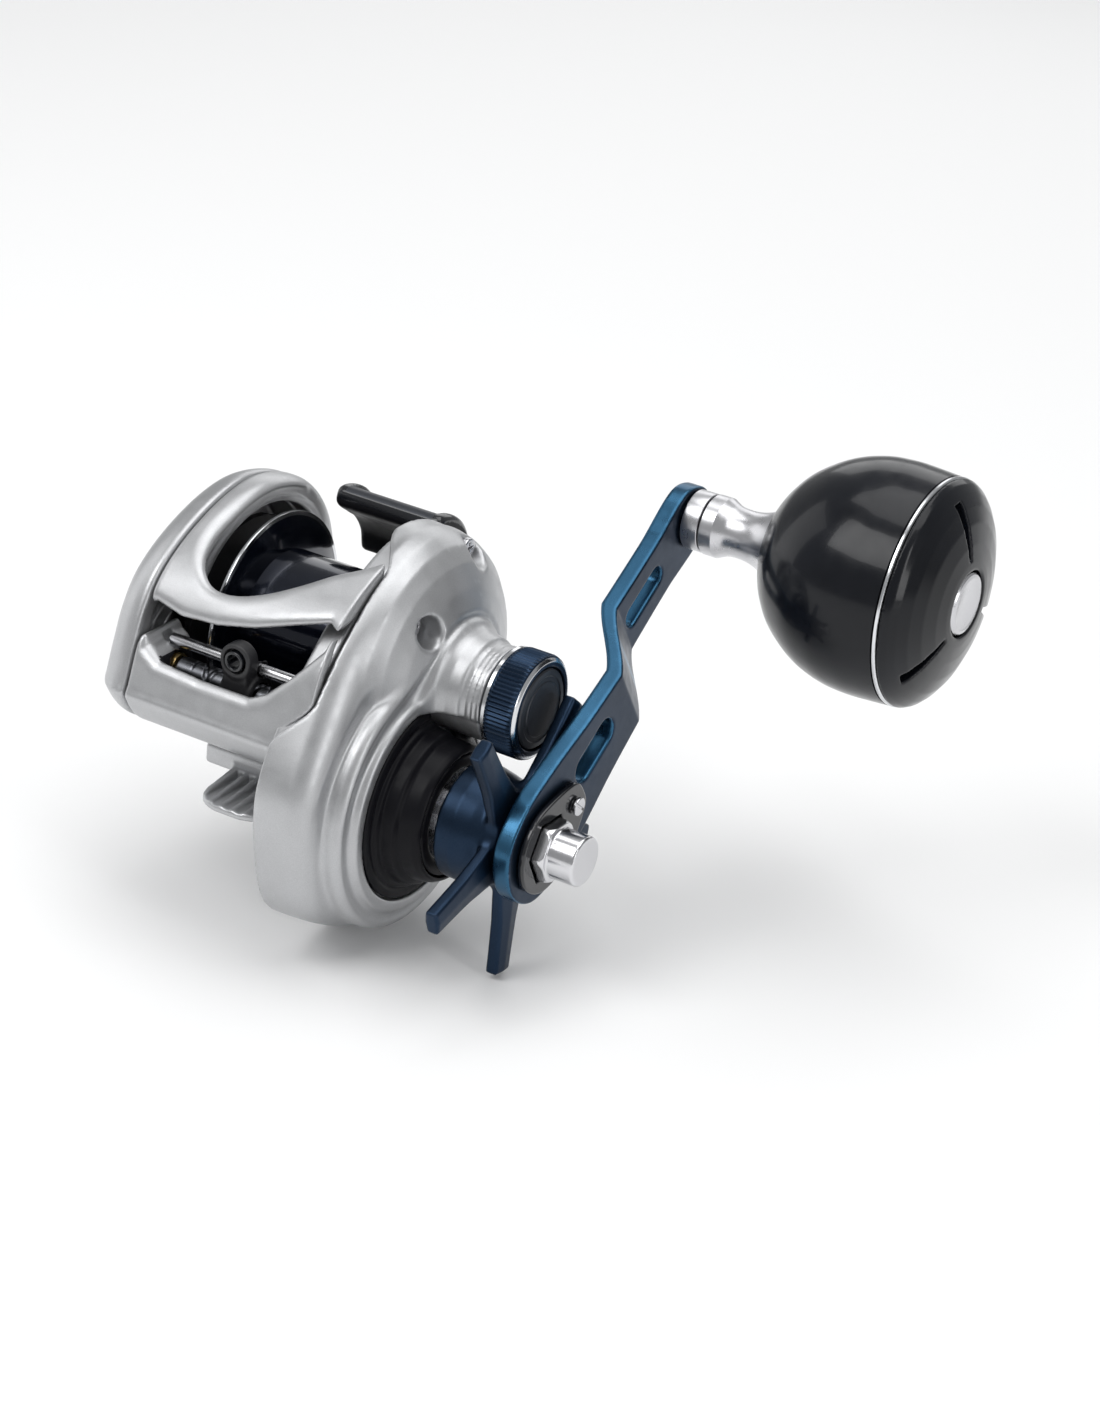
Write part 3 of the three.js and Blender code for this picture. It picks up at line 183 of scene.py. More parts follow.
# ---- materials ----------------------------------------------------------------------------
def material(name, color, metallic, rough, **looks):
    """A node material: base colour broken up by soft noise, roughness varied at two scales, a fine
    bump, and lighter worn edges where wear is given."""
    m = bpy.data.materials.new(name)
    m.use_nodes = True
    nodes, links = m.node_tree.nodes, m.node_tree.links
    shader = nodes["Principled BSDF"]
    shader.inputs["Metallic"].default_value = metallic
    shader.inputs["Coat Weight"].default_value = looks.get("coat", 0.0)
    shader.inputs["Coat Roughness"].default_value = looks.get("coat_rough", 0.08)
    shader.inputs["Specular IOR Level"].default_value = looks.get("specular", 0.5)
    place = nodes.new("ShaderNodeTexCoord")

    def noise(scale, detail=4.0):
        n = nodes.new("ShaderNodeTexNoise")
        n.inputs["Scale"].default_value = scale
        n.inputs["Detail"].default_value = detail
        links.new(place.outputs["Object"], n.inputs["Vector"])
        return n.outputs["Fac"]

    def mapped(value, low, high):
        r = nodes.new("ShaderNodeMapRange")
        r.inputs["From Min"].default_value = 0.3
        r.inputs["From Max"].default_value = 0.7
        r.inputs["To Min"].default_value = low
        r.inputs["To Max"].default_value = high
        links.new(value, r.inputs["Value"])
        return r.outputs["Result"]

    def mixed(fac, a, b):
        x = nodes.new("ShaderNodeMix")
        x.data_type = "RGBA"
        links.new(fac, x.inputs["Factor"])
        for socket, value in ((x.inputs["A"], a), (x.inputs["B"], b)):
            if isinstance(value, tuple):
                socket.default_value = (*value, 1)
            else:
                links.new(value, socket)
        return x.outputs["Result"]

    vary = looks.get("vary", 0.08)
    dark = tuple(c * (1 - vary) for c in color)
    light = tuple(min(1, c * (1 + vary)) for c in color)
    paint = mixed(mapped(noise(looks.get("cloud", 90.0)), 0, 1), dark, light)
    if "flake" in looks:
        fleck = mapped(noise(5200.0, 1.0), 0, looks["flake"])
        paint = mixed(fleck, paint, tuple(min(1, c * 1.35 + 0.02) for c in color))
    if "wear" in looks:
        edge = nodes.new("ShaderNodeNewGeometry")
        ramp = nodes.new("ShaderNodeMapRange")
        ramp.inputs["From Min"].default_value = 0.53
        ramp.inputs["From Max"].default_value = 0.62
        ramp.inputs["To Max"].default_value = looks["wear"]
        links.new(edge.outputs["Pointiness"], ramp.inputs["Value"])
        worn = tuple(min(1, c * 1.5 + 0.08) for c in color)
        paint = mixed(ramp.outputs["Result"], paint, worn)
    links.new(paint, shader.inputs["Base Color"])

    spread = looks.get("rough_spread", 0.05)
    links.new(mapped(noise(400.0), rough - spread, rough + spread), shader.inputs["Roughness"])
    bump = nodes.new("ShaderNodeBump")
    bump.inputs["Strength"].default_value = looks.get("bump", 0.05)
    bump.inputs["Distance"].default_value = looks.get("depth", 0.00003)
    grain = nodes.new("ShaderNodeMath")
    grain.operation = "ADD"
    links.new(noise(looks.get("grain", 2600.0), 2.0), grain.inputs[0])
    if "rings" in looks:
        links.new(rings(nodes, links, place, *looks["rings"]), grain.inputs[1])
    else:
        grain.inputs[1].default_value = 0.0
    links.new(grain.outputs[0], bump.inputs["Height"])
    links.new(bump.outputs["Normal"], shader.inputs["Normal"])
    return m


def rings(nodes, links, place, c, scale, share):
    """Fine turning marks round the line through c = (y, z) along X."""
    shift = nodes.new("ShaderNodeVectorMath")
    shift.operation = "SUBTRACT"
    shift.inputs[1].default_value = (0, c[0] * MM, c[1] * MM)
    links.new(place.outputs["Object"], shift.inputs[0])
    flat = nodes.new("ShaderNodeVectorMath")
    flat.operation = "MULTIPLY"
    flat.inputs[1].default_value = (0, 1, 1)
    links.new(shift.outputs["Vector"], flat.inputs[0])
    length = nodes.new("ShaderNodeVectorMath")
    length.operation = "LENGTH"
    links.new(flat.outputs["Vector"], length.inputs[0])
    n = nodes.new("ShaderNodeTexNoise")
    n.noise_dimensions = "1D"
    n.inputs["Scale"].default_value = scale
    links.new(length.outputs["Value"], n.inputs["W"])
    gain = nodes.new("ShaderNodeMath")
    gain.operation = "MULTIPLY"
    gain.inputs[1].default_value = share
    links.new(n.outputs["Fac"], gain.inputs[0])
    return gain.outputs[0]


SILVER = material(
    "silver_paint", (0.47, 0.475, 0.485), 0.82, 0.40, vary=0.03, flake=0.3, coat=0.12, wear=0.2,
    coat_rough=0.2, bump=0.06,
)
SPOOL_BLACK = material(
    "spool_black", (0.008, 0.011, 0.022), 0.75, 0.16, coat=0.6, vary=0.2, bump=0.1,
    rings=(tuple(S), 9000, 0.6),
)
RIM_SILVER = material(
    "rim_silver", (0.72, 0.73, 0.75), 1.0, 0.18, bump=0.1, rings=(tuple(S), 9000, 1.0)
)
BLACK_SATIN = material("black_satin", (0.014, 0.015, 0.018), 0.15, 0.34, vary=0.15, wear=0.12, bump=0.15)
BLACK_GLOSS = material("black_gloss", (0.010, 0.011, 0.014), 0.2, 0.2, coat=0.5, vary=0.2)
BEZEL = material(
    "bezel_black", (0.006, 0.006, 0.008), 0.0, 0.36, specular=0.12, bump=0.12,
    rings=(tuple(D), 6000, 0.7),
)
NAVY = material(
    "navy_anodised", (0.010, 0.024, 0.050), 0.85, 0.33, vary=0.12, wear=0.3, flake=0.2, bump=0.1
)
BLUE = material(
    "blue_anodised", (0.030, 0.105, 0.19), 0.9, 0.3, vary=0.12, wear=0.3, flake=0.25, bump=0.1
)
DARK_FACE = material("dark_face", (0.035, 0.038, 0.045), 0.6, 0.38, vary=0.15, flake=0.3, bump=0.1)
STEEL = material("ground_steel", (0.62, 0.62, 0.64), 1.0, 0.24, vary=0.06, bump=0.1)
CHROME = material("bright_chrome", (0.70, 0.70, 0.72), 1.0, 0.2, vary=0.03, rough_spread=0.03)
KNOB_CHROME = material(
    "knob_chrome", (0.66, 0.66, 0.68), 1.0, 0.3, vary=0.03, bump=0.08, rings=(tuple(K), 7000, 0.6)
)
BRASS = material("machined_brass", (0.56, 0.40, 0.17), 1.0, 0.3, vary=0.1, bump=0.1)
PLASTIC = material("dark_plastic", (0.016, 0.016, 0.018), 0.0, 0.45, vary=0.2, bump=0.25, grain=1500.0)
KNOB_BLACK = material(
    "knob_black", (0.006, 0.007, 0.010), 0.0, 0.22, vary=0.4, specular=0.2, coat=0.2, coat_rough=0.06,
    cloud=40.0, bump=0.05,
)
# painted shade: a near-black matt finish laid on the hood's inside and the thumb bar's underside, where
# shade falls
PAINTED_SHADE_BLACK = material("painted_shade_black", (0.007, 0.007, 0.009), 0.0, 0.5, specular=0.2, vary=0.2, bump=0.2)
WORM_STEEL = material("worm_steel", (0.16, 0.165, 0.18), 1.0, 0.3, vary=0.1, bump=0.1)
CARBON = material("carbon", (0.02, 0.02, 0.021), 0.0, 0.6, bump=0.4, grain=1200.0)


# ---- solids from distance fields ----------------------------------------------------------
class Field:
    """A block of space sampled every h millimetres, in which shapes are signed distances."""

    def __init__(self, low, high, h=0.35):
        self.h = h
        self.low = np.array(low, np.float32)
        count = [int(math.ceil((b - a) / h)) + 1 for a, b in zip(low, high)]
        axes = [self.low[i] + h * np.arange(count[i], dtype=np.float32) for i in range(3)]
        self.x = axes[0][:, None, None]
        self.y = axes[1][None, :, None]
        self.z = axes[2][None, None, :]

    def outline(self, points):
        """Distance to a closed (y, z) outline, the same all along X."""
        return polygon_distance(points, self.y[0], self.z[0])[None]

    def front(self, points):
        """Distance to a closed (x, z) outline, the same all along Y."""
        return polygon_distance(points, self.x[:, 0], self.z[0])[:, None, :]

    def plan(self, points):
        """Distance to a closed (x, y) outline, the same all along Z."""
        return polygon_distance(points, self.x[:, :, 0], self.y[0].T)[:, :, None]

    def around(self, c):
        return np.sqrt((self.y - c[0]) ** 2 + (self.z - c[1]) ** 2)

    def turned(self, profile, c):
        """A closed (radius, x) profile turned about the line through c along X."""
        r = self.around(c)[0]
        step = 0.1
        table_r = np.arange(0, float(r.max()) + 2 * step, step, dtype=np.float32)
        table = polygon_distance(profile, table_r[None, :], self.x[:, 0])
        at = np.minimum((r / step).astype(np.int32), len(table_r) - 2)
        share = r / step - at
        return table[:, at] * (1 - share) + table[:, at + 1] * share

    def cylinder(self, r, x0, x1, c, edge=0.0):
        return box2(self.around(c) - r, np.abs(self.x - (x0 + x1) / 2) - (x1 - x0) / 2, edge)

    def cylinder_y(self, r, y0, y1, x, z, edge=0.0):
        round_ = np.sqrt((self.x - x) ** 2 + (self.z - z) ** 2) - r
        return box2(round_, np.abs(self.y - (y0 + y1) / 2) - (y1 - y0) / 2, edge)

    def slab(self, shape, x0, x1, edge=0.0):
        return box2(shape, np.abs(self.x - (x0 + x1) / 2) - (x1 - x0) / 2, edge)

    def block(self, low, high, edge=0.0):
        d = [
            np.abs(a - (l + h) / 2) - (h - l) / 2 + edge
            for a, l, h in zip((self.x, self.y, self.z), low, high)
        ]
        out = np.sqrt(sum(np.maximum(v, 0) ** 2 for v in d))
        return out + np.minimum(np.maximum(np.maximum(d[0], d[1]), d[2]), 0) - edge


def box2(a, b, edge):
    """Where two distances are both negative, with the edge between them rounded."""
    a, b = a + edge, b + edge
    outside = np.sqrt(np.maximum(a, 0) ** 2 + np.maximum(b, 0) ** 2)
    return outside + np.minimum(np.maximum(a, b), 0) - edge


def polygon_distance(points, u, v):
    """Signed distance, negative inside, from the grid (u, v) to a closed polygon."""
    p = np.array(points, np.float32)
    best = None
    inside = None
    for a, b in zip(p, np.roll(p, -1, axis=0)):
        e = b - a
        length = float(e @ e)
        if length < 1e-9:
            continue
        du, dv = u - a[0], v - a[1]
        t = np.clip((du * e[0] + dv * e[1]) / length, 0, 1)
        d = (du - t * e[0]) ** 2 + (dv - t * e[1]) ** 2
        crosses = ((a[1] <= v) != (b[1] <= v)) & (
            (e[0] * dv / (e[1] if e[1] else 1e-9)) > du
        )
        best = d if best is None else np.minimum(best, d)
        inside = crosses if inside is None else inside ^ crosses
    return np.where(inside, -1, 1).astype(np.float32) * np.sqrt(best)


def join(a, b, k=0.0):
    """The union, with a fillet of about k."""
    if k <= 0:
        return np.minimum(a, b)
    h = np.maximum(k - np.abs(a - b), 0) / k
    return np.minimum(a, b) - h * h * k * 0.25


def both(a, b, k=0.0):
    return -join(-a, -b, k)


def cut(a, b, k=0.0):
    """a without b, with the new edge rounded by about k."""
    return -join(-a, b, k)


def smooth(points, count=160):
    """A closed Catmull-Rom curve through the points."""
    p = np.array(points, float)
    n = len(p)
    knots = np.sqrt(np.linalg.norm(np.roll(p, -1, axis=0) - p, axis=1))
    per = max(2, count // n)
    out = []
    for i in range(n):
        p0, p1, p2, p3 = p[i - 1], p[i], p[(i + 1) % n], p[(i + 2) % n]
        t0, t1, t2 = knots[i - 1], knots[i], knots[(i + 1) % n]
        m1 = (p2 - p1) - (p2 - p0) * t1 / (t0 + t1) + (p1 - p0) * t1 / t0
        m2 = (p2 - p1) - (p3 - p1) * t1 / (t1 + t2) + (p3 - p2) * t1 / t2
        for s in np.arange(per) / per:
            a = 2 * s**3 - 3 * s**2 + 1
            b = s**3 - 2 * s**2 + s
            out.append(a * p1 + b * m1 + (1 - a) * p2 + (s**3 - s**2) * m2)
    return out


def link(mesh, name, body, slot, replaces, *materials):
    """A new piece that rides on a body, takes the given materials and stands for some CAD nodes. slot is
    not used.
    """
    piece = bpy.data.objects.new(name, mesh)
    bpy.context.collection.objects.link(piece)
    for m in materials:
        mesh.materials.append(m)
    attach(piece, body)
    if replaces:
        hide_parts(*replaces)
    return piece


def solid(field, distance, name, body, slot, replaces, *materials, place=None, paint=None):
    """Turns a distance field into a smooth mesh. place moves it, and paint(middles, normals)
    gives each face the number of its material."""
    shape = np.broadcast_shapes(distance.shape, (field.x.size, field.y.size, field.z.size))
    values = np.array(np.broadcast_to(distance, shape), np.float32)
    for axis in range(3):
        edge = [slice(None)] * 3
        for end in (0, -1):
            edge[axis] = end
            values[tuple(edge)] = np.maximum(values[tuple(edge)], 0.5 * field.h)
    limit = 3 * field.h
    grid = openvdb.FloatGrid(limit)
    grid.copyFromArray(np.clip(values, -limit, limit))
    points, triangles, quads = grid.convertToPolygons(0.0, 0.0)
    verts = (points * field.h + field.low) * MM
    if place is not None:
        verts = verts @ np.array(place.to_3x3()).T + np.array(place.translation)
    faces = [tuple(f[::-1]) for f in quads.tolist()] + [tuple(f[::-1]) for f in triangles.tolist()]
    mesh = bpy.data.meshes.new(name)
    mesh.from_pydata(verts.tolist(), [], faces)
    mesh.update()
    drop_crumbs(mesh)
    piece = link(mesh, name, body, slot, replaces, *materials)
    mesh.polygons.foreach_set("use_smooth", [True] * len(mesh.polygons))
    if paint:
        middles = np.empty(len(mesh.polygons) * 3, np.float32)
        normals = np.empty(len(mesh.polygons) * 3, np.float32)
        mesh.polygons.foreach_get("center", middles)
        mesh.polygons.foreach_get("normal", normals)
        chosen = paint(middles.reshape(-1, 3) / MM, normals.reshape(-1, 3))
        mesh.polygons.foreach_set("material_index", chosen.astype(np.int32))
    return piece


def drop_crumbs(mesh):
    """Keeps only the largest connected part."""
    bm = bmesh.new()
    bm.from_mesh(mesh)
    seen = set()
    groups = []
    for start in bm.verts:
        if start in seen:
            continue
        seen.add(start)
        stack, members = [start], []
        while stack:
            v = stack.pop()
            members.append(v)
            for e in v.link_edges:
                other = e.other_vert(v)
                if other not in seen:
                    seen.add(other)
                    stack.append(other)
        groups.append(members)
    groups.sort(key=len)
    for members in groups[:-1]:
        bmesh.ops.delete(bm, geom=members, context="VERTS")
    bmesh.ops.recalc_face_normals(bm, faces=bm.faces)
    bm.to_mesh(mesh)
    bm.free()


def turned(profile, c, name, body, slot, replaces, *materials, segments=128, ripple=None, paint=None):
    """A (radius, x) profile turned about X. Corners are sharp where the profile turns by more
    than 25 degrees. ripple(angle, radius, x) gives the radius of a knurl or a flute."""
    angles = np.arange(segments) * 2 * math.pi / segments
    verts, rings_ = [], []
    for r, x in profile:
        if r < 1e-6:
            rings_.append([len(verts)])
            verts.append((x * MM, c[0] * MM, c[1] * MM))
            continue
        first = len(verts)
        for a in angles:
            rr = ripple(a, r, x) if ripple else r
            verts.append((x * MM, (c[0] + rr * math.cos(a)) * MM, (c[1] + rr * math.sin(a)) * MM))
        rings_.append(list(range(first, first + segments)))
    faces = []
    closed = profile[0] == profile[-1] and len(rings_[0]) > 1
    if closed:
        rings_[-1] = rings_[0]
    for a, b in zip(rings_, rings_[1:]):
        for i in range(segments):
            j = (i + 1) % segments
            if len(a) == 1 and len(b) == 1:
                continue
            if len(a) == 1:
                faces.append((a[0], b[i], b[j]))
            elif len(b) == 1:
                faces.append((a[i], b[0], a[j]))
            else:
                faces.append((a[i], b[i], b[j], a[j]))
    mesh = bpy.data.meshes.new(name)
    mesh.from_pydata(verts, [], faces)
    bm = bmesh.new()
    bm.from_mesh(mesh)
    if closed:
        loose = [v for v in bm.verts if not v.link_faces]
        bmesh.ops.delete(bm, geom=loose, context="VERTS")
    bmesh.ops.recalc_face_normals(bm, faces=bm.faces)
    for e in bm.edges:
        e.smooth = not (len(e.link_faces) == 2 and e.calc_face_angle() > math.radians(25))
    for f in bm.faces:
        f.smooth = True
        if paint:
            middle = f.calc_center_median() / MM
            f.material_index = paint(middle, f.normal)
    bm.to_mesh(mesh)
    bm.free()
    return link(mesh, name, body, slot, replaces, *materials)


def rounded(profile, edge=0.25, steps=3):
    """The profile with each sharp corner off the axis turned into a small arc."""
    out = []
    closed = profile[0] == profile[-1]
    n = len(profile)
    for i, p in enumerate(profile):
        if (not closed and i in (0, n - 1)) or (closed and i == n - 1):
            out.append(p)
            continue
        before = np.array(profile[i - 1] if i else profile[-2], float)
        here = np.array(p, float)
        after = np.array(profile[i + 1], float)
        u, v = before - here, after - here
        lu, lv = np.linalg.norm(u), np.linalg.norm(v)
        if lu < 1e-6 or lv < 1e-6 or here[0] < 1e-6:
            out.append(p)
            continue
        bend = math.acos(max(-1, min(1, float(-(u @ v) / (lu * lv)))))
        if bend < math.radians(25):
            out.append(p)
            continue
        e = min(edge, 0.4 * lu, 0.4 * lv)
        a, b = here + u / lu * e, here + v / lv * e
        for s in range(steps + 1):
            t = s / steps
            q = (1 - t) ** 2 * a + 2 * t * (1 - t) * here + t * t * b
            out.append((float(q[0]), float(q[1])))
    if closed:
        out[-1] = out[0]
    return out


# ---- body outlines ------------------------------------------------------------------------
def arc(c, r, degrees):
    turns = [math.radians(a) for a in degrees]
    return [(c[0] + r * math.cos(a), c[1] + r * math.sin(a)) for a in turns]


def frame_outline(inset=0.0):
    z = S[1]
    front, low = 35 - inset, 13.2
    return smooth(
        arc(S, BODY_R - inset, [-60, -30, 0, 30, 60, 85, 105])
        + [
            (-18.5 + inset * 0.5, z + 20 - inset),
            (-26 + inset * 0.7, z + 14.5 - inset),
            (-30 + inset, z + 8.5),
            (-32.6 + inset, z + 1.6),
            (-front + 0.6, z - 4.2),
            (-front - 0.1, z - 5.9),
            (-front + 0.5, z - 7.3),
            (-front + 2.6, low + 1.6 + inset * 0.5),
            (-front + 5, low - 0.3 + inset),
            (-20, low - 5 + inset),
            (-8, 3.2 + inset),
            (5, 2.6 + inset),
        ]
    )


def gear_outline(inset=0.0):
    y, z = D
    return smooth(
        arc(S, BODY_R - inset, [-20, 5, 35, 65, 92])
        + [
            (-15 + inset * 0.6, S[1] + 20.3 - inset),
            (-26 + inset * 0.8, S[1] + 11.5 - inset),
            (-34.5 + inset * 0.9, S[1]),
            (y - 30.5 + inset, z + 8),
            (y - 29.5 + inset, z - 4),
            (y - 26 + inset, z - 14.5 + inset * 0.3),
            (y - 19 + inset * 0.5, z - 20 + inset),
            (y - 4, z - 25.8 + inset),
            (y + 12 - inset * 0.4, z - 22.5 + inset),
            (y + 23 - inset * 0.7, z - 11 + inset * 0.7),
            (20 - inset * 0.8, S[1] - 17 + inset * 0.6),
        ]
    )


def window_outline():
    z = S[1]
    return [
        (-18.8, z + 5.5), (-17.6, z + 3.2), (-14.5, z + 1.4), (-5.5, z + 0.8), (5, z + 0.9),
        (8, z + 2.4), (12, z + 6.4), (16.4, z + 11.6), (16.8, z + 14.2), (15.4, z + 14.8),
        (9, z + 13), (2, z + 10.8), (-5, z + 9.4), (-12.6, z + 8.9), (-18.4, z + 10),
    ]


def mouth_outline():
    return smooth([
        (-WALL_X, 42), (-WALL_X, 10), (-WALL_X, -8), (-WALL_X, -16.5), (-12.8, -21), (-9.8, -23.5),
        (-5.5, -24), (0, -22.6), (5, -19.8), (9.5, -16), (SEAM_X + 4, -9), (SEAM_X + 6, 10),
        (SEAM_X + 4, 42),
    ])


# ---- castings -----------------------------------------------------------------------------
def ease(t):
    t = np.clip(t, 0, 1)
    return t * t * (3 - 2 * t)


def seam(f):
    """Where the gear cover starts: it swings outwards beside the window."""
    return SEAM_X + SEAM_SWING * ease((f.z - 20.5) / 8) * ease((-f.y - 1) / 12)


def reel_frame():
    f = Field((PALM_X - 1, -39.5, -1.5), (SEAM_X + 6.4, 31.5, 52), 0.36)
    z = S[1]
    outer = f.outline(frame_outline())
    body = f.slab(outer, PALM_X, SEAM_X + 12, 0.9)
    body = both(body, f.x - seam(f) + SEAM_GAP, 0.25)
    # the foot, tied to the body by a short neck
    tip = f.plan(smooth([
        (-7.25, -22), (-6.6, -27.6), (-3.6, -29.7), (0, -30), (3.6, -29.7), (6.6, -27.6), (7.25, -22),
        (7.25, 22), (6.6, 27.6), (3.6, 29.7), (0, 30), (-3.6, 29.7), (-6.6, 27.6), (-7.25, 22),
    ], 200))
    top = 3.3 - np.clip(np.abs(f.y) - 14, 0, None) * 0.12
    foot = both(both(tip, f.z - top, 0.6), -f.z, 0.3)
    neck = f.block((-WALL_X, -17, 1.0), (SEAM_X - 2, 15, 5.2), 0.8)
    body = join(join(body, neck, 1.5), foot, 1.2)
    hollow = f.slab(f.outline(frame_outline(2.4)), -WALL_X, SEAM_X + 9, 0.8)
    body = cut(body, hollow, 0.5)
    body = cut(body, f.block((-WALL_X, 12, 8), (SEAM_X + 9, 40, 70), 1.2), 0.8)
    mouth = both(f.plan(mouth_outline()), (z - 4) - f.z)
    body = cut(body, mouth, 3.4)
    window = both(f.front(window_outline()), f.y + 20.5)
    body = cut(body, window, 2.6)
    # room for the line guide along its whole travel
    reach = 11.8
    body = cut(body, f.block((-reach, W[0] - 4.3, W[1] - 3), (reach, W[0], EYE[2] + 3.5), 0.3))
    body = cut(body, f.cylinder(WELL_R, PALM_X - 2, 20, S), 1.0)
    # a step round the spool's opening in the palm side
    body = cut(body, f.cylinder(22.0, -WALL_X - 1.4, -WALL_X + 3, S, 0.3), 0.5)
    body = cut(body, f.cylinder(ROD_BORE_R, -18, 20, ROD))
    body = cut(body, f.cylinder(WORM_BORE_R, -18, 20, W))
    body = join(body, f.block((-WALL_X - 1, 18.9, 11), (SEAM_X - 0.4, 22, 15.5), 1.0), 1.0)
    # ribs on top of the toe
    for k in range(-2, 3):
        rib = f.block((k * 2.5 - 0.6, -31, 1.3), (k * 2.5 + 0.6, -18.5, 6), 0.2)
        body = cut(body, rib, 0.3)

    def paint(middles, normals):
        """Painted shade: black inside the hood, where shade falls."""
        depth = polygon_distance(frame_outline(), middles[:, 1], middles[:, 2])
        in_hood = (depth < -1.4) & (np.abs(middles[:, 0]) < WALL_X + 1) & (middles[:, 1] < -20)
        return (in_hood & (middles[:, 2] > 8)).astype(int)

    solid(f, body, "reel_frame", "body", "silver_paint", ["frame"], SILVER, PAINTED_SHADE_BLACK, paint=paint)


def frame_plate():
    """The gear-side wall, which the gear cover hides apart from its inner face."""
    f = Field((SEAM_X - 1.5, -40, -21), (GEAR_X + 0.8, 27, 50), 0.36)
    wall = f.slab(f.outline(gear_outline(2.15)), SEAM_X - 0.45, GEAR_X, 0.3)
    wall = cut(wall, f.cylinder(WELL_R, 0, WALL_X, S), 0.6)
    for r, c in ((5.2, S), (5.3, D), (ROD_BORE_R, ROD), (WORM_BORE_R, W)):
        wall = cut(wall, f.cylinder(r, 0, 20, c), 0.2)
    wall = cut(wall, f.block((WALL_X - 0.5, 21, 19.7), (20, 40, 29), 0.2))
    solid(f, wall, "frame_plate", "body", "silver_paint", [], SILVER)


def palm_cover():
    f = Field((PALM_END_X - 1.2, -38.5, -0.5), (PALM_X + 1, 29, 52), 0.36)
    outer = f.outline(frame_outline(0.1))
    inner_x = PALM_X - 0.35
    # a crowned side: the outline shrinks smoothly towards the end face
    t = np.clip((inner_x - f.x) / (inner_x - PALM_END_X), 0, 1)
    shrink = 8.5 * (1 - np.sqrt(np.clip(1 - t**2.1, 0, 1)))
    body = both(outer + shrink, np.maximum(PALM_END_X - f.x, f.x - inner_x), 1.2)
    room = f.slab(f.outline(frame_outline(4.6)), PALM_END_X + 1.8, PALM_X + 3, 1.0)
    body = cut(body, room, 0.4)
    hub = cut(f.cylinder(7, PALM_END_X + 1, PALM_X - 1.2, S), f.cylinder(5.3, -60, 60, S))
    body = join(body, hub, 0.6)
    dial = centre("brake_dial")[1:]
    body = join(body, f.cylinder(7.2, PALM_END_X + 0.5, PALM_END_X + 4, dial), 0.5)
    body = cut(body, f.cylinder(5.9, PALM_END_X - 2, PALM_END_X + 2.8, dial), 0.5)
    # a shallow groove that follows the cover's edge, and a fine circle round the spool's hub
    face = np.abs(outer + 6.6) - 0.25
    body = cut(body, both(face, f.x - (PALM_END_X + 0.3)), 0.3)
    ring = np.abs(f.around(S) - 11.5) - 0.22
    body = cut(body, both(ring, f.x - (PALM_END_X + 0.25)), 0.2)
    solid(f, body, "palm_side_cover", "body", "silver_paint", ["palm_cover"], SILVER)


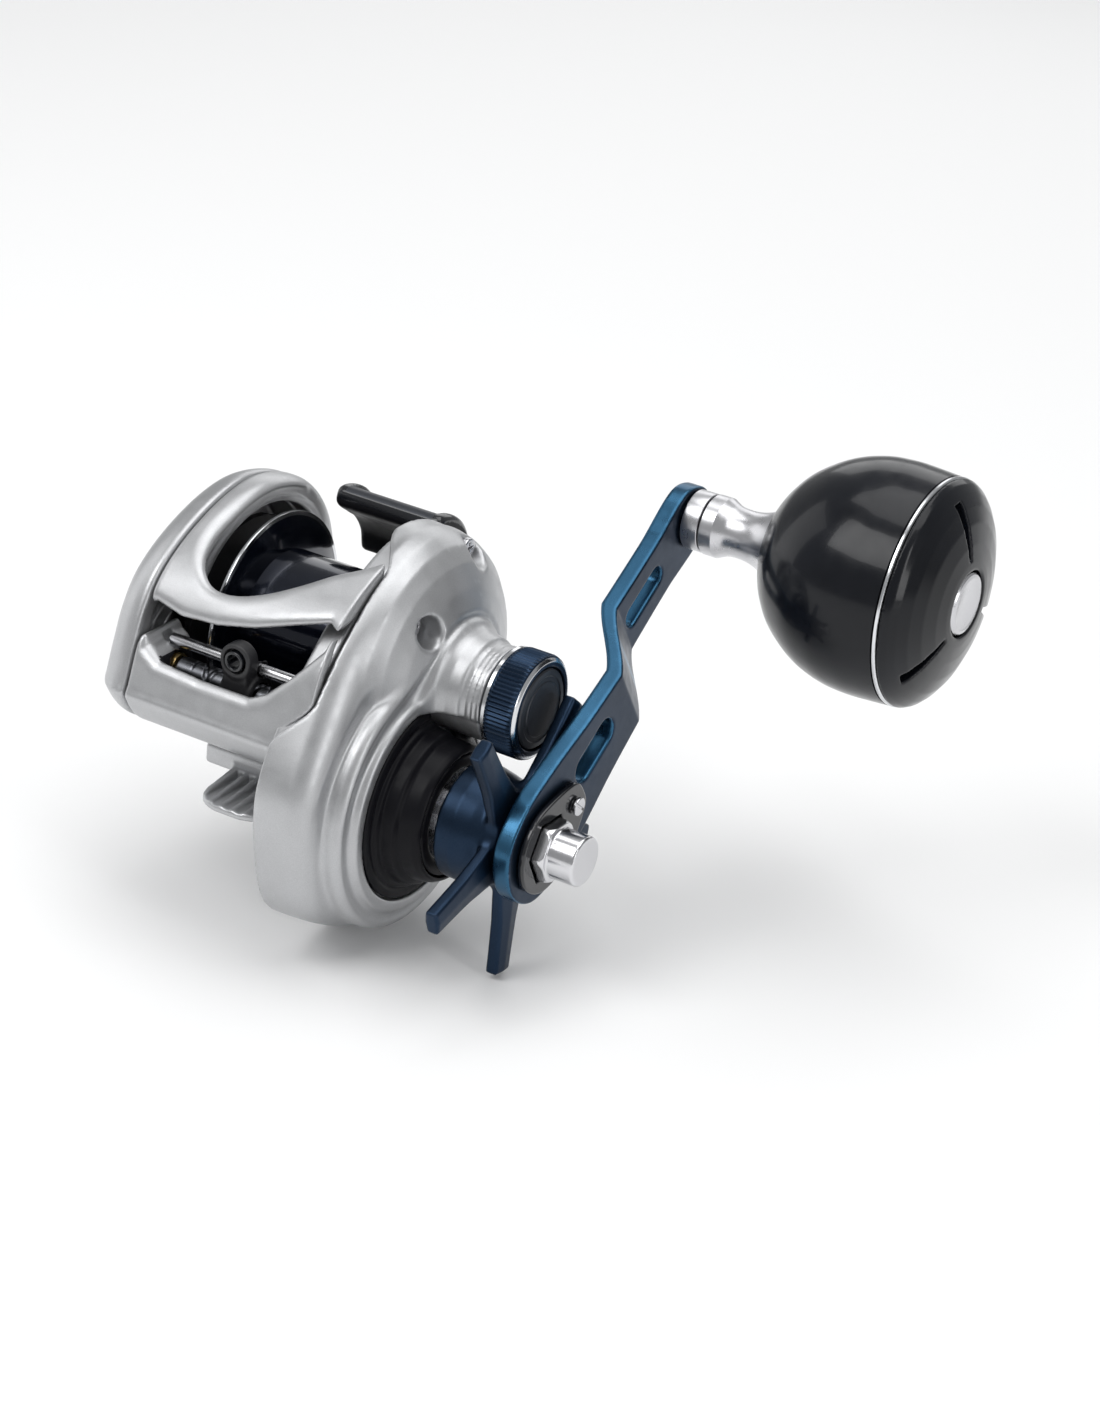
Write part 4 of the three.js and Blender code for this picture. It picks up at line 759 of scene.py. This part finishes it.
def gear_cover():
    f = Field((SEAM_X - 0.8, -42, -23), (42.2, 27, 52), 0.39)
    # the outline draws in towards the handle side, and most on top, so the cover is a dome there
    upper = np.clip((f.z - 16) / 16, 0, 1)
    taper = (0.006 + 0.020 * upper) * (f.x - SEAM_X) ** 2
    flank = f.slab(f.outline(gear_outline()) + taper, 4.6, 23.4, 4.6)
    shoulder = f.turned([
        (0, 17), (24.6, 17), (24.3, 19.4), (23.2, 22), (20.8, 24.4), (16.8, 26.6), (11.4, 28.8),
        (0, 28.8),
    ], S)
    body = join(flank, shoulder, 2.4)
    # the raised rim runs round the drive shaft's disc and up round the boss
    lobe = join(f.around(D) - 24.6, f.around(S) - 12.6, 9.0)
    body = join(body, f.slab(lobe, 17, 27.0, 2.2), 1.1)
    rim = join(f.around(D) - 21.4, f.around(S) - 10.6, 5.0)
    body = join(body, f.slab(rim, 20, DISC_X, 0.9), 0.5)
    valley = join(f.around(D) - 22.0, f.around(S) - 11.6, 6.0)
    body = cut(body, np.sqrt(valley**2 + (f.x - 27.9) ** 2) - 1.25, 0.8)
    body = both(body, seam(f) + SEAM_GAP - f.x, 0.3)
    body = cut(body, f.cylinder(DISC_R + 0.35, DISC_X - 1.4, 60, D, 0.2), 0.5)
    collar = f.turned([
        (0, 24), (14, 24), (13.2, 26.6), (11.2, 28.8), (10.1, 31), (9.6, 33.4), (9.0, 33.9), (0, 33.9),
    ], S)
    body = join(body, collar, 1.5)
    body = join(body, f.cylinder(BOSS_R, 22, BOSS_X, S, 0.4))
    # the bezel's seat stays clear of the collar
    body = cut(body, both(f.cylinder(DISC_R + 0.35, DISC_X - 1.4, 60, D), 8.7 - f.around(S)), 0.3)
    for x in (34.6, 35.6, 36.6):
        groove = np.sqrt((f.around(S) - BOSS_R - 0.1) ** 2 + (f.x - x) ** 2) - 0.34
        body = cut(body, groove, 0.12)
    body = join(body, f.cylinder(7.4, BOSS_X - 1, CAST_FACE_X - 3.3, S))
    body = join(body, f.cylinder(11.35, 25.6, CLUTCH_X, D))
    for name in ("cover_screw_front", "cover_screw_rear"):
        c = centre(name)
        x = box_mm(name)[1][0]
        body = cut(body, f.cylinder(2.9, x - 1.3, 60, c[1:]), 0.6)
    room = join(
        f.slab(f.outline(gear_outline(1.8)), 0, 20.9),
        join(f.cylinder(21.2, 0, 25.6, D), f.cylinder(6.6, 0, 28.4, S)),
    )
    low, high = box_mm("clutch_yoke")
    yoke_room = f.block(low - 0.5, high + np.array([CLUTCH_TRAVEL + 0.6, 0.5, 0.5]))
    # the hollow leaves a wall of at least 0.8
    body = cut(body, both(join(room, yoke_room), body + 0.8), 0.3)
    bores = join(
        join(f.cylinder(9.05, 24, 60, D), f.cylinder(5.35, 28, BOSS_X - 3.6, S)),
        join(f.cylinder(3, 28, 60, S), f.cylinder(5.35, CAST_FACE_X - 6.4, 60, S)),
    )
    body = cut(body, bores)

    def paint(middles, normals):
        """Black on the clutch's housing, inside the bezel."""
        in_bezel = np.hypot(middles[:, 1] - D[0], middles[:, 2] - D[1]) < 11.9
        return (in_bezel & (middles[:, 0] > DISC_X - 1)).astype(int)

    solid(
        f, body, "gear_side_cover", "body", "silver_paint", ["gear_cover"], SILVER, BEZEL, paint=paint
    )


def thumb_bar():
    f = Field((-12.6, 14, 21.5), (18.4, 28.9, 47.8), 0.3)
    z = S[1]
    section = f.outline(smooth([
        (15.4, z + 18.2), (16.2, z + 21), (20, z + 20.8), (24.8, z + 17.8), (27.4, z + 12.5),
        (27.2, z + 6.2), (25.4, z + 5.8), (24.2, z + 10), (21.5, z + 13.6), (18.6, z + 15.6),
    ]))
    bar = f.slab(section, -11.5, 11.5, 1.3)
    rib = f.block((9.5, 20.9, 24.6), (11.5, 22.7, 40), 0.3)
    tab = f.block((10.5, 20.9, 24.6), (16.9, 22.7, 28.6), 0.3)
    bar = join(join(bar, rib, 0.6), tab, 0.3)
    # a shallow pad on top
    pad = f.outline([(17.5, z + 21.4), (25.4, z + 17.2), (26.4, z + 19.5), (18, z + 24)])
    bar = cut(bar, f.slab(pad, -9.3, 9.3, 0.3), 0.5)

    def paint(middles, normals):
        """The pad has a finish of its own; the underside and the side towards the spool are painted
        shade in matt black.
        """
        on_top = (normals[:, 2] > 0.62) & (np.abs(middles[:, 0]) < 9.6)
        under = (normals[:, 2] < 0.1) & (normals[:, 1] < 0.5)
        return np.where(on_top, 1, np.where(under, 2, 0))

    solid(
        f, bar, "thumb_rest", "thumb", "black_trim", ["thumb_bar"],
        BLACK_GLOSS, DARK_FACE, PAINTED_SHADE_BLACK, paint=paint,
    )


def level_wind():
    f = Field((-4.2, -31, 18.2), (4.2, -21, 34.5), 0.2)
    ring = f.cylinder(3.8, -3.2, 3.2, W, 0.3)
    web = f.slab(f.outline([
        (W[0] - 3.5, W[1]), (EYE[1] - 1.3, EYE[2]), (EYE[1] + 1.3, EYE[2]),
        (ROD[0] + 1.9, ROD[1] + 1), (ROD[0] + 2.1, ROD[1]), (W[0] + 3.5, W[1]),
    ]), -2.6, 2.6, 0.4)
    tower = f.cylinder_y(3.2, EYE[1] - 1.5, EYE[1] + 1.5, 0, EYE[2], 0.5)
    body = join(join(ring, web, 0.8), tower, 0.8)
    body = cut(body, f.cylinder(2.6, -9, 9, W), 0.1)
    body = cut(body, f.cylinder(1.4, -9, 9, ROD), 0.1)
    body = cut(body, f.cylinder_y(2.25, -60, 0, 0, EYE[2]), 0.4)
    solid(f, body, "line_guide_body", "guide", "dark_plastic", ["line_guide"], PLASTIC)

    e = Field((-2.6, EYE[1] - 2.4, EYE[2] - 2.6), (2.6, EYE[1] + 2.4, EYE[2] + 2.6), 0.12)
    across = np.sqrt(e.x**2 + (e.z - EYE[2]) ** 2)
    tube = box2(np.abs(across - 1.6) - 0.3, np.abs(e.y - EYE[1]) - 1.9, 0.25)
    solid(e, tube, "line_guide_eye", "guide", "steel", ["guide_eye"], BLACK_GLOSS)


def level_wind_tray():
    f = Field((-14.2, -31.4, 16.4), (12, -20.6, 21.2), 0.3)
    z = S[1]
    section = f.outline([
        (W[0] - 4.6, z - 7.8), (W[0] + 3.4, z - 7.8), (W[0] + 4.6, z - 4.6), (W[0] + 3.6, z - 4.6),
        (W[0] + 2.6, z - 6.6), (W[0] - 4.6, z - 6.6),
    ])
    tray = f.slab(section, -13.8, 11.3, 0.2)
    solid(f, tray, "level_wind_tray", "body", "dark_plastic", ["level_wind_insert"], PLASTIC)


# ---- spool and worm -----------------------------------------------------------------------
def spool():
    edge = SPOOL_HALF
    flange = [
        (13.2, edge - 2.1), (15.5, edge - 1.75), (18.0, edge - 1.25), (19.1, edge - 0.8),
        (SPOOL_R - 0.05, edge - 0.7), (SPOOL_R, edge - 0.5), (SPOOL_R - 0.05, edge - 0.05),
        (19.4, edge), (18.9, edge), (17.6, edge - 0.45), (11.8, edge), (11.8, 1), (3.6, 1), (3.6, 7),
        (1.55, 7),
    ]
    profile = [(r, -x) for r, x in flange] + flange[::-1]
    profile.append(profile[0])

    def rim(middle, normal):
        r = math.hypot(middle.y - S[0], middle.z - S[1])
        return int(r > 18.85)

    turned(
        profile, S, "spool_body", "spool_assembly", "spool_black", ["spool"],
        SPOOL_BLACK, RIM_SILVER, segments=160, paint=rim,
    )


def worm():
    """The level-wind worm: a shaft with two crossed helical grooves."""
    x0, x1 = -13.8, 13.8
    f = Field((x0 - 0.6, W[0] - 2.8, W[1] - 2.8), (x1 + 0.6, W[0] + 2.8, W[1] + 2.8), 0.16)
    rod = f.cylinder(2.3, x0, x1, W, 0.15)
    angle = np.arctan2(f.z - W[1], f.y - W[0])
    pitch = 4.6
    for hand in (1, -1):
        turn = (f.x / pitch + hand * angle / (2 * math.pi)) % 1.0
        along = (np.minimum(turn, 1 - turn)) * pitch
        groove = np.sqrt((f.around(W) - 2.4) ** 2 + (along * 0.95) ** 2) - 0.55
        reach = np.abs(f.x) - 10.5
        rod = cut(rod, both(groove, reach), 0.1)
    solid(f, rod, "worm_screw", "worm", "steel", ["worm_shaft"], WORM_STEEL)
    for name, a, b in (("worm_journal_palm", -16.6, x0), ("worm_journal_gear", x1, 20.4)):
        journal = rounded([(0, a), (1.5, a), (1.5, b), (0, b)])
        turned(journal, W, name, "worm", "steel", [], WORM_STEEL, segments=48)


# ---- turned pieces ------------------------------------------------------------------------
def guide_rod():
    low, high = box_mm("guide_rod")
    turned(
        rounded([(0, low[0]), (1.1, low[0]), (1.1, high[0]), (0, high[0])]),
        ROD, "level_wind_rod", "body", "steel", ["guide_rod"], STEEL, segments=64,
    )


def bezel():
    f = Field((26.4, D[0] - 19, D[1] - 19), (36.4, D[0] + 19, D[1] + 19), 0.26)
    body = f.turned([
        (11.7, 26.9), (DISC_R, 26.9), (DISC_R, 27.8), (17.7, 28.0), (16.6, 28.2), (16.3, 28.0),
        (16.0, 28.0), (15.7, 28.7), (14.7, 29.0), (14.35, 31.2), (13.3, 31.8), (12.9, 34.4),
        (12.3, 35.4), (11.7, 35.6),
    ], D)
    body = cut(body, f.cylinder(9.6, 20, 60, S), 0.4)
    solid(f, body, "drag_disc", "body", "black_trim", ["drag_bezel"], BEZEL)


def cast_control():
    def knurl(a, r, x):
        if r < CAST_R - 0.05 or not (39.0 < x < 44.2):
            return r
        return r + 0.16 * math.cos(72 * a)

    x0 = BOSS_X + 0.5
    profile = [
        (7.7, x0), (9.45, x0), (CAST_R, x0 + 0.15), (CAST_R, x0 + 0.75), (9.3, x0 + 0.9),
        (9.3, x0 + 1.05), (9.56, x0 + 1.2),
    ]
    profile += [(CAST_R, x0 + 1.4 + 0.35 * k) for k in range(13)]
    profile += [
        (9.55, 44.25), (9.3, 44.45), (8.9, 44.8), (8.6, CAST_FACE_X), (7.95, CAST_FACE_X),
        (7.8, 44.8), (7.75, 43.7),
        (0, 43.7), (0, 41.9), (7.7, 41.9), (7.7, x0),
    ]

    def bright(middle, normal):
        """Two fine silver rings, next to the boss and round the face."""
        r = math.hypot(middle.y - S[0], middle.z - S[1])
        if r > 9.2 and middle.x < x0 + 0.85:
            return 1
        return 1 if (middle.x > 44.4 and 8.5 < r < 9.25) else 0

    turned(
        profile, S, "cast_control_knob", "cast_control", "black_trim", ["cast_knob"], NAVY, RIM_SILVER,
        segments=432, ripple=knurl, paint=bright,
    )
    face = [
        (0, 44.0), (7.4, 44.0), (7.4, 44.7), (7.1, 44.95), (6.2, 45.02), (6.0, CAST_FACE_X),
        (5.2, CAST_FACE_X), (5.0, 45.05), (0, 45.1),
    ]
    turned(
        face, S, "cast_control_disc", "cast_control", "dark_plastic", ["cast_face"], DARK_FACE,
        segments=96,
    )


def handle_hardware():
    f = Field((52.9, D[0] - 7, D[1] - 7), (62.4, D[0] + 7, D[1] + 7), 0.16)
    hexagon = arc(D, 6.0, range(0, 360, 60))
    base = f.slab(f.outline(hexagon), ARM_FACE_X + 0.35, ARM_FACE_X + 3.7, 0.15)
    base = both(base, f.around(D) - 5.85 + 0.55 * np.clip(f.x - 55.9, 0, 9), 0.2)
    nut = join(base, f.cylinder(4.65, ARM_FACE_X + 3, 62, D, 0.55), 0.25)
    nut = cut(nut, f.cylinder(3.05, 40, 59.4, D))
    solid(f, nut, "handle_cap_nut", "crank", "bright_metal", ["handle_nut"], CHROME)

    g = Field((53.0, -10, -10), (54.9, 14.5, 10), 0.14)
    plate = g.outline(smooth([
        (-8.6, 0), (-6, 6), (0, 8.4), (7, 6.4), (12.4, 3), (13, 0), (12.4, -3), (7, -6.4), (0, -8.4),
        (-6, -6),
    ]))
    plate = g.slab(plate, ARM_FACE_X + 0.35, ARM_FACE_X + 1.5, 0.3)
    hole = arc((0, 0), 6.45, [math.degrees(-ARM_ANGLE) + 60 * k for k in range(6)])
    plate = cut(plate, g.outline(hole), 0.2)
    plate = cut(plate, g.cylinder(1.25, 40, 60, (9.6, 0)), 0.1)
    solid(g, plate, "nut_keeper", "crank", "black_trim", ["nut_retainer"], BLACK_GLOSS, place=ALONG_ARM)

    c = centre("retainer_screw")[1:]
    s = Field((49.8, c[0] - 2, c[1] - 2), (55.9, c[0] + 2, c[1] + 2), 0.1)
    screw = join(s.cylinder(1.7, 54.8, 55.6, c, 0.25), s.cylinder(0.9, 50, 55, c))
    slot = np.abs((s.y - c[0]) * math.cos(0.9) + (s.z - c[1]) * math.sin(0.9)) - 0.22
    screw = cut(screw, both(slot, 55.15 - s.x), 0.05)
    solid(s, screw, "keeper_screw", "crank", "bright_metal", ["retainer_screw"], CHROME)


def handle_arm():
    f = Field((ARM_END_X - 0.8, -12, -12), (ARM_FACE_X + 0.8, ARM_LENGTH + 8, 12), 0.24)
    plan = f.outline(smooth([
        (0, 10.8), (-7.7, 7.7), (-10.8, 0), (-7.7, -7.7), (0, -10.8), (10, -10.4), (22, -8.6),
        (34, -7.5), (46, -6.7), (60, -6.3), (ARM_LENGTH + 1.5, -6.3), (ARM_LENGTH + 6.4, 0),
        (ARM_LENGTH + 1.5, 6.3),
        (60, 6.3), (46, 6.7), (34, 7.5), (22, 8.6), (10, 10.4),
    ], 240))
    # the arm steps inwards between start and end
    start, end = 33.0, 46.0
    t = np.clip((f.y - start) / (end - start), 0, 1)
    bend = ease(t) * 0.35 + t * 0.65
    middle = ARM_X + ARM_T / 2 - (ARM_X - ARM_END_X) * bend
    slope = 0.84
    body = box2(plan, (np.abs(f.x - middle) - ARM_T / 2) * slope, 0.45)
    # two slots, from a to b along the arm
    for a, b, r, across in ((16.5, 24.0, 2.7, 1.4), (49.0, 58.0, 2.0, 0.0)):
        near = np.sqrt((f.y - np.clip(f.y, a, b)) ** 2 + (f.z - across) ** 2) - r
        body = cut(body, near, 0.7)
    body = cut(body, f.cylinder(3.35, 30, 60, (0, 0)), 0.2)
    body = cut(body, f.cylinder(2.55, 30, 60, (ARM_LENGTH, 0)), 0.2)

    def faces(middles, normals):
        return (normals[:, 0] > 0.8).astype(int)

    solid(
        f, body, "crank_arm", "crank", "blue_anodised", ["handle_arm"], BLUE, NAVY,
        place=ALONG_ARM, paint=faces,
    )


def star_drag():
    f = Field((36.4, D[0] - 28, D[1] - 28), (49.6, D[0] + 28, D[1] + 28), 0.27)
    body = f.turned([
        (5.3, 37), (10.0, 37), (10.7, 37.5), (10.8, 40.5), (10.2, 43.5), (9.4, 46.5), (9.0, 48.5),
        (8.7, 48.8), (5.3, 48.8),
    ], D)
    dy, dz = f.y - D[0], f.z - D[1]
    for k in range(5):
        a = math.radians(51 + 72 * k)
        along = dy * math.cos(a) + dz * math.sin(a)
        across = -dy * math.sin(a) + dz * math.cos(a)
        t = np.clip((along - 7) / 19.5, 0, 1)
        half = 4.4 - 3.4 * t + 2.6 * np.clip(t - 0.45, 0, 1) ** 1.2
        arm = box2(
            np.maximum(np.abs(across) - half, np.maximum(6 - along, along - 26.4)),
            np.abs(f.x - 47.35) - 1.45 + 0.12 * np.abs(across),
            0.55,
        )
        body = join(body, arm, 1.3)
    body = cut(body, f.cylinder(5.3, 30, 60, D))
    solid(f, body, "drag_star", "star", "blue_anodised", ["star_drag"], NAVY)


def knob():
    def bead(profile, name, node, slot, look, segments, body="knob"):
        turned(profile, K, name, body, slot, [node], look, segments=segments)

    ball = smooth_profile([
        (7.9, 0), (9.6, 0.45), (12.6, 2.3), (16, 5.4), (19.4, 10.6), (21.2, 16), (21.7, 21),
        (21.55, 25.5), (21.3, RING_X - KNOB_X),
    ])
    start = (2.5, KNOB_X + 1)
    body = [start, (7.2, KNOB_X + 1), (7.4, KNOB_X + 0.3)]
    body += [(r, KNOB_X + x) for r, x in ball]
    body += [
        (21.0, RING_X), (18.9, RING_X), (18.9, RING_X - 6), (8, RING_X - 6), (8, RING_X - 2),
        (2.5, RING_X - 2), start,
    ]
    bead(body, "knob_ball", "knob_body", "knob_black", KNOB_BLACK, 192)
    ring = [
        (19.3, RING_X + 0.35), (21.0, RING_X + 0.2), (21.3, RING_X + 0.35), (21.3, RING_X + 0.75),
        (21.0, RING_X + 0.95), (19.3, RING_X + 0.8), (19.3, RING_X + 0.35),
    ]
    bead(ring, "knob_inlay", "knob_ring", "bright_metal", RIM_SILVER, 192)
    knob_front()
    end = KNOB_END_X
    cap = [
        (0, RING_X + 3.4), (5.8, RING_X + 3.4), (5.8, end - 0.5), (5.5, end - 0.15), (4.9, end),
        (4.6, end - 0.12), (0, end - 0.05),
    ]
    bead(cap, "knob_end_cap", "knob_cap", "bright_metal", STEEL, 96)
    waist = smooth_profile([
        (5.7, 51.4), (5.2, 52.4), (4.75, 53.6), (4.6, 55.5), (4.75, 57.5), (5.3, 59.6), (6.3, 61.7),
        (7.4, 63.3),
    ])
    neck = [(2.5, 48.7), (5.45, 48.7), (5.7, 48.95)] + waist + [(7.2, 63.7), (2.5, 63.7), (2.5, 48.7)]
    bead(neck, "knob_sleeve", "knob_neck", "bright_metal", KNOB_CHROME, 128)
    a, b = (corner[0] for corner in box_mm("knob_collar"))
    collar = rounded([(2.55, a), (5.6, a), (5.6, b), (2.55, b), (2.55, a)], 0.3)
    bead(collar, "knob_post_collar", "knob_collar", "bright_metal", KNOB_CHROME, 128, "crank")
    a, b = (corner[0] for corner in box_mm("knob_post"))
    post = rounded([(0, a), (4, a), (4, a + 0.75), (2.2, a + 0.75), (2.2, b), (0, b)])
    bead(post, "knob_spindle", "knob_post", "steel", STEEL, 64, "crank")


def knob_front():
    """The knob's dished front cover, with three tapered slots."""
    f = Field((RING_X + 0.5, K[0] - 22, K[1] - 22), (KNOB_END_X + 0.4, K[0] + 22, K[1] + 22), 0.28)
    x = RING_X
    body = f.turned([
        (6.2, x + 1.1), (21.15, x + 1.1), (21.2, x + 1.5), (20.6, x + 2.6), (19.4, x + 3.8),
        (17.4, x + 5.2),
        (14.5, x + 6.5), (11, x + 7.5), (8, x + 8.05), (6.6, x + 8.2), (6.2, x + 8.0),
    ], K)
    dy, dz = f.y - K[0], f.z - K[1]
    for k in range(3):
        a = math.radians(95 + 120 * k)
        along = dy * math.cos(a) + dz * math.sin(a)
        across = -dy * math.sin(a) + dz * math.cos(a)
        wide = 0.35 + 0.075 * (along - 8.5)
        wedge = np.maximum(np.abs(across) - wide, np.maximum(8.5 - along, along - 18.6))
        surface = x + 8.2 - 7.1 * (np.clip(f.around(K), 0, 21.2) / 21.2) ** 2.6
        body = cut(body, both(wedge, surface - 1.1 - f.x), 0.3)
    solid(f, body, "knob_front_cover", "knob", "knob_black", ["knob_cover"], KNOB_BLACK)


def smooth_profile(points, per=6):
    """An open Catmull-Rom curve through (radius, x) points."""
    p = [np.array(q, float) for q in points]
    p = [2 * p[0] - p[1]] + p + [2 * p[-1] - p[-2]]
    out = []
    for i in range(1, len(p) - 2):
        for s in np.arange(per) / per:
            a, b, c, d = p[i - 1 : i + 3]
            square = (2 * a - 5 * b + 4 * c - d) * s**2
            cube = (3 * b - a - 3 * c + d) * s**3
            q = 0.5 * (2 * b + (c - a) * s + square + cube)
            out.append((float(q[0]), float(q[1])))
    out.append(tuple(map(float, p[-2])))
    return out


def screws():
    for name in ("cover_screw_front", "cover_screw_rear"):
        c, x = centre(name)[1:], box_mm(name)[1][0]
        f = Field((x - 8, c[0] - 2.1, c[1] - 2.1), (x + 0.3, c[0] + 2.1, c[1] + 2.1), 0.12)
        screw = join(f.cylinder(1.85, x - 1.2, x, c, 0.25), f.cylinder(0.9, x - 7.5, x - 1, c))
        cross = np.minimum(np.abs(f.y - c[0]), np.abs(f.z - c[1])) - 0.22
        recess = both(both(cross, f.around(c) - 1.1), x - 0.7 - f.x)
        screw = cut(screw, recess, 0.06)
        solid(f, screw, name + "_cross_head", "body", "bright_metal", [name], STEEL)


def brake_dial():
    c = centre("brake_dial")[1:]
    x = box_mm("brake_dial")[0][0]

    def flutes(a, r, at):
        return r - 0.22 * max(0, math.cos(18 * a)) ** 2 if r > 5.2 and at < x + 1.4 else r

    profile = [
        (0, x + 0.3), (3.9, x + 0.3), (4.2, x), (4.9, x), (5.4, x + 0.25), (5.6, x + 0.7),
        (5.6, x + 1.5), (5.6, x + 3.4), (0, x + 3.4),
    ]
    turned(
        profile, c, "brake_dial_knob", "brake_control", "black_trim", ["brake_dial"], BLACK_SATIN,
        segments=216, ripple=flutes,
    )


def dress_cad():
    """Every CAD node that stays visible gets the material of its record slot."""
    looks = {
        "steel": STEEL, "brass": BRASS, "dark_plastic": PLASTIC, "carbon": CARBON,
        "bright_metal": CHROME,
    }
    slots = {s["node"]: s["material_slot"] for s in frame["record"]["subparts"]}
    for node, piece in frame["nodes"].items():
        piece.data.materials.clear()
        piece.data.materials.append(looks.get(slots.get(node), BLACK_SATIN))


dress_cad()
reel_frame()
frame_plate()
palm_cover()
gear_cover()
thumb_bar()
level_wind()
level_wind_tray()
spool()
worm()
guide_rod()
bezel()
cast_control()
handle_hardware()
handle_arm()
star_drag()
knob()
screws()
brake_dial()
